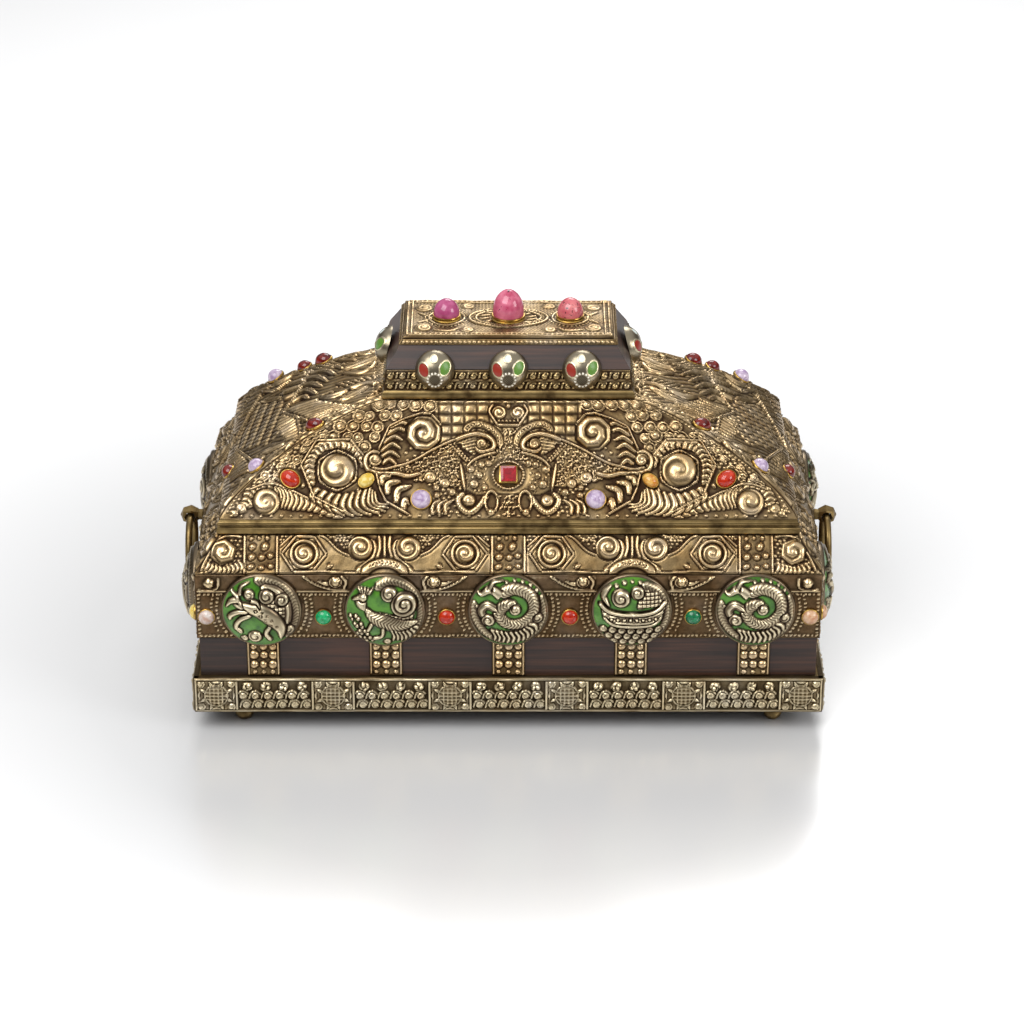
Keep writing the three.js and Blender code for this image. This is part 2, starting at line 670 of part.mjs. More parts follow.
// The knobs that hold the ring handles: a rosette on the end wall, a neck and a ball with a hole in it.
function makeKnob() {
  const profile = [[0, 0], [9, 0], [9, 1.4], [3.8, 3], [3.6, knobReach - knobRadius * 0.75]];
  const arc = 3;
  for (let i = 0; i <= arc; i++) {
    const angle = -0.9 + ((Math.PI / 2 + 0.9) * i) / arc;
    profile.push([i === arc ? 0 : knobRadius * Math.cos(angle), knobReach + knobRadius * Math.sin(angle)]);
  }
  const sag = ringRadius - Math.sqrt(ringRadius ** 2 - knobRadius ** 2);
  const hole = new THREE.CylinderGeometry(1, 1, 4 * knobRadius, 8);
  const bore = ringThickness + sag + ringClearance;
  hole.scale(bore, 1, bore).rotateZ(Math.PI / 2).translate(0, 0, knobReach);
  return solid(turned(0, 0, profile, 8)).subtract(solid(hole));
}
const knobShape = geometryOf(makeKnob());
const knobLevel = bodyTop - knobDrop;
const ringShape = new THREE.TorusGeometry(ringRadius, ringThickness, 6, 18);
for (const { name, group, reach } of sides.filter((side) => !side.long)) {
  const knob = piece(`handle_knob_${name}`, knobShape, "gilt", group, [0, -(reach + seatGap), knobLevel]);
  knob.rotation.x = Math.PI / 2;
  const ring = piece(`handle_ring_${name}`, ringShape, "gilt", group);
  ring.position.set(0, -(reach + seatGap + knobReach), knobLevel - ringRadius);
  ring.rotation.x = Math.PI / 2;
}

// Ball feet under a round flange, with a small flat where they stand.
const footShape = geometryOf(
  solid(
    turned(
      0,
      0,
      [
        [0, 0],
        [footFlat, 0],
        [footBallRadius, footBallRadius * 0.75],
        [footBallRadius * 0.92, footBallRadius * 1.25],
        [footBallRadius * 0.6, footHeight * 0.76],
        [footFlangeRadius, footHeight * 0.82],
        [footFlangeRadius, footHeight - seatGap],
        [0, footHeight - seatGap],
      ],
      8,
    ),
  ),
);
for (const [name, x, y] of [
  ["front_left", -1, -1],
  ["front_right", 1, -1],
  ["back_left", -1, 1],
  ["back_right", 1, 1],
]) {
  const place = [x * (skin.x - footMarginX), y * (skin.y - footMarginY), 0];
  piece(`foot_${name}`, footShape, "gilt", casket, place);
}

export default casket;
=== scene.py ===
"""Looks of a long casket of dark wood under embossed gilt metal, with enamel medallions and cabochons."""

from __future__ import annotations

import logging
import math
from dataclasses import dataclass, field
from enum import Enum
from functools import cached_property, partial
from typing import Callable, Sequence

import bpy
import numpy as np
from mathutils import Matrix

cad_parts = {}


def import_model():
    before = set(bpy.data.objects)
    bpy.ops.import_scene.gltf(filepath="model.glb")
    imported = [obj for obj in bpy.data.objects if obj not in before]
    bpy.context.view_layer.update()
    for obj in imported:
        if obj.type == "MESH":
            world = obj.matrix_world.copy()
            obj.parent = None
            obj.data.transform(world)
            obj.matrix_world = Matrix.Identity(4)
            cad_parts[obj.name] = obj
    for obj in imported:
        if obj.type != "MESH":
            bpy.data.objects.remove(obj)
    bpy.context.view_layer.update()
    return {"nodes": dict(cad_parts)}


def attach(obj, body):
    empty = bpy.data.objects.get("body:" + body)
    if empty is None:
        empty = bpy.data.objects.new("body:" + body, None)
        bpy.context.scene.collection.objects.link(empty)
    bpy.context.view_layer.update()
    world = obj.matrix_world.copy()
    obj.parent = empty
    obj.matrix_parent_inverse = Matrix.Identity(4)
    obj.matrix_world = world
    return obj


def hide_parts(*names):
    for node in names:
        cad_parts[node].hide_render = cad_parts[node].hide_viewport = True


log = logging.getLogger("casket")
TURN = (0.0, 2 * math.pi)
MM = 0.001  # metres in a millimetre
JOIN = 0.00001  # points nearer than this are one, in metres
AIR = 0.3  # what separates a piece from the one behind it, in millimetres
OVAL_LEVEL = 28.6  # the middle of the square stone, up the front of the roof, in millimetres
Point = tuple[float, float]
Line = Sequence[Point]
Array = np.ndarray
Piece = bpy.types.Object
Material = bpy.types.Material
Socket = bpy.types.NodeSocket


class Side(Enum):
    """A side of the casket, by the quarter turns that bring the front round to it."""

    FRONT = 0
    RIGHT = 1
    BACK = 2
    LEFT = 3

    @property
    def long(self) -> bool:
        """Whether this is one of the two long sides."""
        return self.value % 2 == 0

    @property
    def axes(self) -> tuple[int, int]:
        """Which of two half sizes in plan runs along this side, and which runs out of it."""
        return (0, 1) if self.long else (1, 0)

    @property
    def word(self) -> str:
        """The side's name in lower case."""
        return self.name.lower()


class Taper(Enum):
    """How a raised band's width runs from its first end to its last."""

    EVEN = "even"
    LEAF = "leaf"
    FROND = "frond"
    TAIL = "tail"


class Figure(Enum):
    """What a medallion's relief shows."""

    BEAST = "beast"
    BIRD = "bird"
    DRAGON = "dragon"
    SHIP = "ship"


@dataclass(frozen=True)
class Sizes:
    """Levels above the table and half sizes in plan, in millimetres, as the solids have them."""

    plinth_foot: float = 14.0
    plinth_top: float = 38.59
    wood_top: float = 65.9
    body_top: float = 110.98
    cove_top: float = 131.98
    rail_top: float = 141.98
    roof_top: float = 202.28
    gallery_foot: float = 208.48
    gallery_top: float = 222.18
    bevel_top: float = 238.58
    plate_face: float = 240.48
    skin: Point = (197.0, 105.5)
    plinth: Point = (200.0, 108.5)
    cove: Point = (181.5, 90.0)
    block: Point = (78.5, 41.0)
    gallery: Point = (76.8, 39.3)
    plate: Point = (66.5, 29.0)
    medallion_level: float = 87.24
    stone_level: float = 81.54
    medallion_pitch: float = 77.7
    medallion_pitch_short: float = 136.0
    roundness: float = 1.28

    def medallions(self, side: Side) -> list[float]:
        """Where the medallions stand along a side."""
        if side.long:
            return [i * self.medallion_pitch for i in (-2, -1, 0, 1, 2)]
        return [-self.medallion_pitch_short / 2, self.medallion_pitch_short / 2]


SIZES = Sizes()


def linear(colour: str) -> tuple[float, float, float, float]:
    """Turns an sRGB hex colour to linear.

    Args:
        colour: six hex digits.

    Returns:
        The linear colour with an alpha of 1.
    """
    parts = [int(colour[i : i + 2], 16) / 255 for i in (0, 2, 4)]
    red, green, blue = (p / 12.92 if p <= 0.04045 else ((p + 0.055) / 1.055) ** 2.4 for p in parts)
    return (red, green, blue, 1.0)


def feed(tree: bpy.types.NodeTree, node: bpy.types.Node, inputs: dict) -> None:
    """Sets a node's inputs.

    Args:
        tree: the node tree it is in.
        node: the node.
        inputs: socket name or number to a value, or to the output socket that feeds it.
    """
    for key, value in inputs.items():
        if isinstance(value, Socket):
            tree.links.new(value, node.inputs[key])
        else:
            node.inputs[key].default_value = value


def add_node(
    tree: bpy.types.NodeTree,
    kind: str,
    inputs: dict | None = None,
    stops: Sequence[tuple[float, str]] = (),
    **settings: object,
) -> bpy.types.Node:
    """Adds a node with its settings and its links.

    Args:
        tree: the node tree it goes into.
        kind: the node's type name.
        inputs: socket name or number to a value, or to the output socket that feeds it.
        stops: places and hex colours, where the node holds a colour ramp.
        settings: the node's own properties.

    Returns:
        The new node.
    """
    node = tree.nodes.new(kind)
    for name, value in settings.items():
        setattr(node, name, value)
    feed(tree, node, inputs or {})
    if stops:
        elements = node.color_ramp.elements
        while len(elements) < len(stops):
            elements.new(1.0)
        for element, (place, colour) in zip(elements, stops):
            element.position = place
            element.color = linear(colour)
    return node


class Recipe:
    """A finish in the making, with the few kinds of node that the finishes share."""

    def __init__(self, name: str) -> None:
        """Starts an empty material of that name."""
        self.material = bpy.data.materials.new(name)
        self.material.use_nodes = True
        self.tree = self.material.node_tree

    @cached_property
    def place(self) -> Socket:
        """Places in metres, in the piece's own frame."""
        return add_node(self.tree, "ShaderNodeTexCoord").outputs["Object"]

    def attribute(self, name: str, output: str = "Fac") -> Socket:
        """What the mesh stores under a name."""
        return add_node(self.tree, "ShaderNodeAttribute", attribute_name=name).outputs[output]

    def noise(self, scale: float, detail: float, **inputs: Socket | float) -> Socket:
        """Noise of so many waves a metre."""
        inputs = {"Vector": self.place, "Scale": scale, "Detail": detail, **inputs}
        return add_node(self.tree, "ShaderNodeTexNoise", inputs).outputs["Fac"]

    def ramp(self, share: Socket, *stops: tuple[float, str]) -> Socket:
        """Colours by share, from places and hex colours."""
        return add_node(self.tree, "ShaderNodeValToRGB", {"Fac": share}, stops).outputs["Color"]

    def blend(self, share: Socket, first: Socket, second: Socket | tuple) -> Socket:
        """The first colour where the share is 0, and the second where it is 1."""
        return add_node(self.tree, "ShaderNodeMix", {0: share, 6: first, 7: second}, data_type="RGBA").outputs[2]

    def shade(self, colour: Socket, **inputs: Socket | float) -> Socket:
        """A colour with its hue, saturation or value shifted."""
        return add_node(self.tree, "ShaderNodeHueSaturation", {"Color": colour, **inputs}).outputs["Color"]

    def span(self, value: Socket, low: float, high: float, start: float = 0.0, end: float = 1.0) -> Socket:
        """Runs from low, where the value is at the start, to high, where it is at the end."""
        inputs = {"Value": value, "From Min": start, "From Max": end, "To Min": low, "To Max": high}
        return add_node(self.tree, "ShaderNodeMapRange", inputs).outputs[0]

    def reckon(self, operation: str, *terms: Socket | float, clamp: bool = False) -> Socket:
        """A sum of its terms."""
        settings = {"operation": operation, "use_clamp": clamp}
        return add_node(self.tree, "ShaderNodeMath", dict(enumerate(terms)), **settings).outputs[0]

    def bump(self, height: Socket, strength: float, distance: float) -> Socket:
        """Normals roughened by a height, over a distance in metres."""
        inputs = {"Height": height, "Strength": strength, "Distance": distance}
        return add_node(self.tree, "ShaderNodeBump", inputs).outputs["Normal"]

    def finish(self, inputs: dict) -> Material:
        """Feeds the shader and gives the material."""
        feed(self.tree, self.tree.nodes["Principled BSDF"], inputs)
        return self.material


@dataclass(frozen=True)
class EmbossedGilt:
    """Chased sheet brass, gilt and oxidised: black-brown in the recesses, rubbed bright on the heights."""

    name: str = "embossed_oxidised_gilt"
    deep: str = "33251a"
    low: str = "5b4b34"
    body: str = "8c7652"
    high: str = "c8ad84"
    rough_high: float = 0.27
    rough_low: float = 0.55

    def build(self) -> Material:
        """Makes the material. The wear attribute runs from 0 in a recess to 1 on a rubbed height, and carries painted
        shade on the relief's undersides and painted light on its upper sides.
        """
        mix = Recipe(self.name)
        # Tarnish comes in clouds about 20 mm across, and hammer and file marks are about 1 mm.
        cloud, grit = mix.noise(50.0, 5.0), mix.noise(900.0, 3.0)
        shift = mix.reckon("MULTIPLY_ADD", cloud, 0.26, -0.13)
        fleck = mix.reckon("MULTIPLY_ADD", grit, 0.16, -0.08)
        # The attribute brings the rubbing and patina of the relief together with painted shade and painted light from
        # its slopes.
        worn = mix.reckon("ADD", mix.attribute("wear"), shift)
        worn = mix.reckon("ADD", worn, fleck, clamp=True)
        gold = mix.ramp(worn, (0.1, self.deep), (0.34, self.low), (0.57, self.body), (0.86, self.high))
        # Where the gilding is thin the metal is greyer, and where it is thick it is amber.
        grey, thick = mix.span(cloud, 0.0, 0.45, 0.52, 0.7), mix.span(cloud, 0.0, 0.6, 0.48, 0.34)
        tone = mix.blend(grey, gold, mix.shade(gold, Saturation=0.55, Value=0.95))
        tone = mix.shade(tone, Hue=0.49, Saturation=1.15, Value=0.97, Fac=thick)
        rough = mix.span(worn, self.rough_low, self.rough_high, 0.2, 0.8)
        normal = mix.bump(grit, 0.25, 0.0004)
        return mix.finish({"Base Color": tone, "Roughness": rough, "Normal": normal, "Metallic": 1.0})


@dataclass(frozen=True)
class PlainGilt:
    """Smooth gilt brass of mouldings, rings and collets, a little tarnished."""

    name: str = "plain_gilt_brass"
    dark: str = "453621"
    light: str = "8f794f"
    roughness: float = 0.32

    def build(self) -> Material:
        """Makes the material."""
        mix = Recipe(self.name)
        cloud = mix.noise(90.0, 6.0)
        gold = mix.ramp(cloud, (0.3, self.dark), (0.62, self.light))
        rough = mix.span(cloud, self.roughness + 0.25, self.roughness - 0.12)
        return mix.finish({"Base Color": gold, "Roughness": rough, "Metallic": 1.0})


@dataclass(frozen=True)
class ChasedMedallion:
    """Translucent green enamel on silver, with a silver-gilt relief rubbed bright: glassy ground, metal figure."""

    name: str = "green_enamel_on_silver"
    enamel: str = "4f8326"
    enamel_deep: str = "2c5818"
    deep: str = "2a2118"
    low: str = "54463a"
    body: str = "85765d"
    high: str = "d6c8a8"

    def build(self) -> Material:
        """Makes the material. The metal attribute is 1 on metal and 0 on enamel."""
        mix = Recipe(self.name)
        metal, stops = mix.attribute("metal"), (
            (0.2, self.deep), (0.45, self.low), (0.66, self.body), (0.92, self.high),
        )
        # The wear attribute carries painted shade on the figure's undersides and painted light on its upper sides,
        # besides its rubbing.
        silver = mix.ramp(mix.attribute("wear"), *stops)
        glass = mix.ramp(mix.noise(160.0, 4.0), (0.3, self.enamel_deep), (0.6, self.enamel))
        tone, rough = mix.blend(metal, glass, silver), mix.span(metal, 0.16, 0.3)
        return mix.finish({"Base Color": tone, "Metallic": metal, "Roughness": rough})


@dataclass(frozen=True)
class InsetSilver:
    """Polished silver of the domed buttons, with small flat insets of coloured stone."""

    name: str = "silver_with_stone_insets"
    stops: tuple[tuple[float, str], ...] = ((0.15, "221d17"), (0.4, "665c4b"), (0.62, "9a907b"), (0.9, "d8cba8"))

    def build(self) -> Material:
        """Makes the material. The inset attribute holds the stone's colour, with 0 alpha on bare silver."""
        mix = Recipe(self.name)
        inset = add_node(mix.tree, "ShaderNodeAttribute", attribute_name="inset").outputs
        tone = mix.blend(inset["Alpha"], mix.ramp(mix.attribute("wear"), *self.stops), inset["Color"])
        metallic = mix.reckon("SUBTRACT", 1.0, inset["Alpha"])
        return mix.finish({"Base Color": tone, "Metallic": metallic, "Roughness": 0.3})


@dataclass(frozen=True)
class Palisander:
    """Waxed palisander: dark purple-brown, with fine straight grain along the board and a soft shine."""

    name: str = "waxed_palisander"
    dark: str = "1c110d"
    body: str = "2f1d15"
    light: str = "44291c"

    def build(self) -> Material:
        """Makes the material."""
        mix = Recipe(self.name)
        # Grain lines about 1.5 mm apart that run some 60 mm along the board.
        along = add_node(
            mix.tree, "ShaderNodeMapping", {"Vector": mix.place, "Scale": (16.0, 16.0, 520.0)},
        ).outputs[0]
        grain = mix.noise(1.0, 6.0, Vector=along)
        share = mix.reckon("MULTIPLY_ADD", mix.noise(14.0, 2.0), 0.55, grain)
        wood = mix.ramp(share, (0.55, self.dark), (0.78, self.body), (0.98, self.light))
        skin = {"Roughness": 0.46, "Coat Weight": 0.12, "Coat Roughness": 0.22}
        return mix.finish({"Base Color": wood, "Normal": mix.bump(grain, 0.2, 0.0003), **skin})


@dataclass(frozen=True)
class PolishedStone:
    """A polished cabochon: glassy skin over clouded or clear stone."""

    name: str
    colour: str
    cloud: str
    clear: float = 0.0
    scale: float = 300.0

    def build(self) -> Material:
        """Makes the material."""
        mix = Recipe(self.name)
        tone = mix.ramp(mix.noise(self.scale, 4.0, Distortion=0.6), (0.35, self.colour), (0.7, self.cloud))
        return mix.finish({"Base Color": tone, "Roughness": 0.07, "IOR": 1.55, "Transmission Weight": self.clear})


@dataclass(frozen=True)
class Rhodonite:
    """Polished rhodonite: rose pink, clouded paler, with black specks and fine veins."""

    name: str = "polished_rhodonite"
    rose: str = "a83c5a"
    pale: str = "cc6f86"
    speck: str = "1c1214"
    share: float = 0.3

    def build(self) -> Material:
        """Makes the material."""
        mix = Recipe(self.name)
        pink = mix.ramp(mix.noise(160.0, 5.0), (0.32, self.rose), (0.68, self.pale))
        dark = mix.span(mix.noise(330.0, 3.0, Distortion=1.2), 0.0, 0.9, self.share + 0.02, self.share)
        return mix.finish({"Base Color": mix.blend(dark, pink, linear(self.speck)), "Roughness": 0.12, "IOR": 1.55})


def sided(s: int, *points: Point, middle: float = 0.0) -> list[Point]:
    """Puts places to one side of a middle.

    Args:
        s: 1 to the right, -1 to the left.
        points: the places, as they are on the right.
        middle: where the middle is.

    Returns:
        The places.
    """
    return [(middle + s * x, y) for x, y in points]


def arc(x: float, y: float, wide: float, high: float, span: tuple[float, float], count: int) -> list[Point]:
    """Gives places on a part of an ellipse.

    Args:
        x: its middle across.
        y: its middle up.
        wide: its half width.
        high: its half height.
        span: the first and the last angle, in radians.
        count: how many places to give.

    Returns:
        The places.
    """
    return [(x + wide * math.cos(a), y + high * math.sin(a)) for a in np.linspace(*span, count)]


def even(height: float) -> Callable:
    """A pattern of one height all over."""
    return lambda x, y: height + 0 * x


def curve(points: Line, count: int = 48) -> Array:
    """Draws a smooth curve through points.

    Args:
        points: what it passes through, in order.
        count: how many places to give along it.

    Returns:
        An array of places, evenly spread by the points' own steps.
    """
    p = np.asarray(points, float)
    p = np.vstack([2 * p[0] - p[1], p, 2 * p[-1] - p[-2]])
    t = np.linspace(0, len(p) - 3 - 1e-9, count)
    i = t.astype(int)
    f = (t - i)[:, None]
    a, b, c, d = p[i], p[i + 1], p[i + 2], p[i + 3]
    return 0.5 * (2 * b + (c - a) * f + (2 * a - 5 * b + 4 * c - d) * f**2 + (3 * b - a - 3 * c + d) * f**3)


def blur(heights: Array, cells: int) -> Array:
    """Averages a height field over a square of cells, twice.

    Args:
        heights: the field.
        cells: how far to each side the average reaches.

    Returns:
        The softened field.
    """
    out = heights
    width = 2 * cells + 1
    for _ in range(2):
        for axis in (0, 1):
            padding = [(cells + 1, cells) if a == axis else (0, 0) for a in (0, 1)]
            total = np.cumsum(np.pad(out, padding, mode="edge"), axis=axis)
            upper = np.take(total, range(width, total.shape[axis]), axis=axis)
            lower = np.take(total, range(0, total.shape[axis] - width), axis=axis)
            out = (upper - lower) / width
    return out


def inside(outline: Line, x: Array, y: Array) -> Array:
    """Tells which places lie within an outline.

    Args:
        outline: its corners in order.
        x: the places across.
        y: the places up.

    Returns:
        True where a place is inside.
    """
    corners = np.asarray(outline, float)
    found = np.zeros(np.shape(x), bool)
    for (x0, y0), (x1, y1) in zip(corners, np.roll(corners, -1, axis=0)):
        if y0 != y1:
            found ^= ((y0 > y) != (y1 > y)) & (x < (x1 - x0) * (y - y0) / (y1 - y0) + x0)
    return found


def cushions(wide: float, high: float, angle: float = 0.0, stagger: float = 0.0, lap: float = 0.0) -> Callable:
    """Rows of small cushions.

    Args:
        wide: from cushion to cushion along a row, in millimetres.
        high: from row to row.
        angle: the way the rows run, in degrees.
        stagger: how far each row is set off from the next, as a share of a cushion.
        lap: how much lower a cushion is at its first end, as where scales overlap.

    Returns:
        A pattern that gives 0 to 1 over arrays of x and y.
    """

    def pattern(x: Array, y: Array) -> Array:
        c, s = math.cos(math.radians(angle)), math.sin(math.radians(angle))
        u, v = (x * c + y * s) / wide, (-x * s + y * c) / high
        u = (u + stagger * np.floor(v) + 0.5) % 1.0
        fx, fy = 2 * np.abs(u - 0.5), 2 * np.abs(v % 1.0 - 0.5)
        return (1 - fx**4) * (1 - fy**4) * (1 - lap + lap * u)

    return pattern


def grains(pitch: float) -> Callable:
    """Close rows of small round grains.

    Args:
        pitch: from grain to grain, in millimetres.

    Returns:
        A pattern that gives 0 to 1 over arrays of x and y.
    """

    def pattern(x: Array, y: Array) -> Array:
        v = y / (0.87 * pitch)
        row = np.floor(v)
        fx = (x / pitch + 0.5 * (row % 2) + 0.17 * np.sin(3.1 * row)) % 1.0 - 0.5
        fy = (v - row - 0.5) * 0.87
        return np.sqrt(np.clip(1 - 5.2 * (fx**2 + fy**2), 0, 1))

    return pattern


def waves(pitch: float, angle: float, sway: float = 0.0, length: float = 30.0) -> Callable:
    """Flowing parallel locks.

    Args:
        pitch: from lock to lock, in millimetres.
        angle: the way they run, in degrees.
        sway: how far they swing to the side.
        length: the length of one swing.

    Returns:
        A pattern that gives 0 to 1 over arrays of x and y.
    """

    def pattern(x: Array, y: Array) -> Array:
        c, s = math.cos(math.radians(angle)), math.sin(math.radians(angle))
        u, v = x * c + y * s, -x * s + y * c
        saw = ((v + sway * np.sin(2 * math.pi * u / length)) / pitch) % 1.0
        return np.sqrt(np.clip(4 * saw * (1 - saw), 0, 1)) * (0.6 + 0.4 * saw)

    return pattern


class Relief:
    """A height field in millimetres over a panel, on which raised work is laid from the back to the front."""

    def __init__(self, x: Array, y: Array, seed: int = 1) -> None:
        """Starts flat.

        Args:
            x: places across the panel, one row for each height up it.
            y: heights up the panel, the same along each row.
            seed: starts the small unevenness of the work.
        """
        self.x, self.y = x, y
        self.h = np.zeros_like(x)
        self.chance = np.random.default_rng(seed)

    def window(self, x: float, y: float, reach: float) -> tuple | None:
        """The part of the grid within reach of a place.

        Args:
            x: the place across.
            y: the place up.
            reach: how far to each side.

        Returns:
            Slices of rows and columns, or None off the panel.
        """
        rows = np.flatnonzero(np.abs(self.y[:, 0] - y) <= reach)
        if not rows.size:
            return None
        inside = np.abs(self.x[rows[0] : rows[-1] + 1] - x) <= reach
        columns = np.flatnonzero(inside.any(axis=0))
        if not columns.size:
            return None
        return np.s_[rows[0] : rows[-1] + 1, columns[0] : columns[-1] + 1]

    def lay(self, where: tuple, form: Array, cover: Array) -> None:
        """Puts a form over what is there, as far as cover goes from 0 to 1."""
        self.h[where] = self.h[where] * (1 - cover) + form * cover

    def bead(self, x: float, y: float, radius: float, height: float, stretch: float = 1.0, turn: float = 0.0) -> None:
        """Raises a round or oval bead.

        Args:
            x: its middle across.
            y: its middle up.
            radius: its half height.
            height: how far it stands out.
            stretch: its length over its height.
            turn: how far it is turned, in degrees.
        """
        where = self.window(x, y, radius * max(stretch, 1.0) * 1.3)
        if where is None:
            return
        c, s = math.cos(math.radians(turn)), math.sin(math.radians(turn))
        dx, dy = self.x[where] - x, self.y[where] - y
        far = np.hypot((dx * c + dy * s) / stretch, -dx * s + dy * c) / radius
        self.lay(where, height * np.sqrt(np.clip(1 - far**2, 0, 1)), np.clip((1.22 - far) / 0.16, 0, 1))

    def beads(self, points: Line, radius: float, height: float) -> None:
        """Raises a bead at each place."""
        for x, y in points:
            uneven = 1 + 0.12 * self.chance.standard_normal()
            self.bead(x, y, radius * uneven, height)

    def string(self, points: Line, pitch: float, radius: float, height: float) -> None:
        """Raises a row of beads along a curve.

        Args:
            points: what the row passes through.
            pitch: from bead to bead.
            radius: of a bead.
            height: of a bead.
        """
        path = curve(points, 120)
        steps = np.concatenate([[0], np.cumsum(np.hypot(*np.diff(path, axis=0).T))])
        at = np.linspace(0, steps[-1], max(2, round(steps[-1] / pitch) + 1))
        self.beads(list(zip(np.interp(at, steps, path[:, 0]), np.interp(at, steps, path[:, 1]))), radius, height)

    def ring(self, x: float, y: float, radius: float, width: float, height: float, stretch: float = 1.0) -> None:
        """Raises a round or oval ring.

        Args:
            x: its middle across.
            y: its middle up.
            radius: of the ridge's middle, up and down.
            width: half the ridge's width.
            height: how far it stands out.
            stretch: its length over its height.
        """
        where = self.window(x, y, (radius + 2 * width) * max(stretch, 1.0))
        if where is None:
            return
        far = np.abs(np.hypot((self.x[where] - x) / stretch, self.y[where] - y) - radius) / width
        self.lay(where, height * np.sqrt(np.clip(1 - far**2, 0, 1)), np.clip((1.35 - far) / 0.3, 0, 1))

    def scroll(
        self,
        x: float,
        y: float,
        radius: float,
        turns: float = 1.8,
        hand: float = 1.0,
        start: float = 0.0,
        height: float = 2.4,
        corners: int = 0,
        swell: float = 0.45,
    ) -> None:
        """Raises a scroll that winds in to a button.

        Args:
            x: its middle across.
            y: its middle up.
            radius: its outer radius.
            turns: how often it winds.
            hand: 1 or -1, the way it winds.
            start: the angle of its outer end, in degrees.
            height: how far it stands out.
            corners: how many corners its outline has, or 0 for a round one.
            swell: how much of the height is a dome under the winding.
        """
        where = self.window(x, y, radius * 1.25)
        if where is None:
            return
        dx, dy = self.x[where] - x, self.y[where] - y
        r = np.hypot(dx, dy)
        angle = np.arctan2(dy, dx)
        if corners:
            part = 2 * math.pi / corners
            turned = (angle - math.radians(start)) % part - part / 2
            r = r * (0.25 + 0.75 * np.cos(turned) / math.cos(part / 2))
        pitch = radius / (turns + 0.3)
        lap = (hand * angle - math.radians(start)) % (2 * math.pi) / (2 * math.pi)
        wound = 1 - np.abs(2 * (((radius - r) / pitch - lap) % 1.0) - 1) ** 2.6
        dome = np.sqrt(np.clip(1 - (r / radius) ** 2, 0, 1))
        button = np.sqrt(np.clip(1 - (r / (0.55 * pitch)) ** 2, 0, 1))
        form = height * (swell * dome + (1 - swell) * wound * (0.55 + 0.45 * dome))
        form = np.maximum(form, height * 1.05 * button)
        self.lay(where, form * np.clip((radius * 1.02 - r) / 0.5, 0, 1), np.clip((radius * 1.08 - r) / 0.4, 0, 1))

    def band(
        self,
        points: Line,
        width: float,
        height: float,
        taper: Taper = Taper.EVEN,
        ribs: float = 0.0,
        slant: float = 0.8,
        strands: float = 0.0,
        lean: float = 0.0,
        count: int = 48,
    ) -> None:
        """Raises a band, leaf or tail along a curve.

        Args:
            points: what its middle passes through.
            width: its half width at the widest.
            height: how far it stands out.
            taper: how its width runs.
            ribs: the pitch of the ribs across it, or 0 for a smooth one.
            slant: how far the ribs lean along it.
            strands: how many ridges run along each half of it, or 0 for none.
            lean: how far its left side is higher than its right.
            count: how finely the curve is followed.
        """
        path = curve(points, count)
        low, high = path.min(axis=0), path.max(axis=0)
        middle = (low + high) / 2
        where = self.window(*middle, float((high - low).max() / 2 + width * 1.6 + 1))
        if where is None:
            return
        steps = np.concatenate([[0], np.cumsum(np.hypot(*np.diff(path, axis=0).T))])
        way = np.gradient(path, axis=0)
        way /= np.linalg.norm(way, axis=1)[:, None]
        px, py = self.x[where].ravel(), self.y[where].ravel()
        near = np.argmin((px[:, None] - path[None, :, 0]) ** 2 + (py[:, None] - path[None, :, 1]) ** 2, axis=1)
        rx, ry = px - path[near, 0], py - path[near, 1]
        along = steps[near] + rx * way[near, 0] + ry * way[near, 1]
        signed = -rx * way[near, 1] + ry * way[near, 0]
        aside = np.abs(signed)
        t = along / steps[-1]
        run = np.clip(t, 0, 1)
        if taper is Taper.LEAF:
            reach = width * np.sin(math.pi * run) ** 0.7
        elif taper is Taper.FROND:
            reach = width * np.sin(math.pi * (0.12 + 0.84 * run)) ** 0.5
        elif taper is Taper.TAIL:
            reach = width * np.clip(1 - run, 0.06, 1) ** 0.6
        else:
            reach = width * np.sqrt(np.clip(np.minimum(run, 1 - run) * steps[-1] / width, 0, 1))
        share = np.clip(signed / np.maximum(reach, 0.05), -1, 1)
        form = height * np.sqrt(1 - share**2) * (1 + lean * share)
        if strands:
            form *= 0.62 + 0.38 * np.abs(np.cos(math.pi * strands * share)) ** 0.8
        if ribs:
            saw = ((along - slant * aside) / ribs) % 1.0
            form *= 0.45 + 0.55 * np.sqrt(np.clip(4 * saw * (1 - saw), 0, 1)) * (0.6 + 0.4 * saw)
        ends = (t > -0.01) & (t < 1.01)
        cover = np.clip((reach + 0.55 - aside) / 0.4, 0, 1) * ends * (reach > 0.08)
        shape = self.x[where].shape
        self.lay(where, form.reshape(shape), cover.reshape(shape))

    def patch(self, outline: Line, pattern: Callable, height: float, base: float = 0.0) -> None:
        """Fills an outline with a pattern.

        Args:
            outline: its corners in order.
            pattern: gives 0 to 1 over arrays of x and y.
            height: how far the pattern stands out.
            base: how far the whole patch is raised.
        """
        corners = np.asarray(outline, float)
        low, high = corners.min(axis=0), corners.max(axis=0)
        where = self.window(*((low + high) / 2), float((high - low).max() / 2 + 1))
        if where is None:
            return
        x, y = self.x[where], self.y[where]
        self.lay(where, base + height * pattern(x, y), inside(outline, x, y).astype(float))

    def sites(self, outline: Line, pitch: float, uneven: float = 0.08) -> list[Point]:
        """Gives staggered, slightly uneven places over an outline.

        Args:
            outline: its corners in order.
            pitch: from place to place.
            uneven: how far a place strays, as a share of the pitch.

        Returns:
            The places.
        """
        corners = np.asarray(outline, float)
        low, high = corners.min(axis=0), corners.max(axis=0)
        found = []
        for j, y in enumerate(np.arange(low[1] + pitch / 2, high[1], pitch * 0.87)):
            for x in np.arange(low[0] + pitch / 4 + (j % 2) * pitch / 2, high[0], pitch):
                dx, dy = self.chance.standard_normal(2) * pitch * uneven
                if inside(outline, x + dx, y + dy):
                    found.append((x + dx, y + dy))
        return found

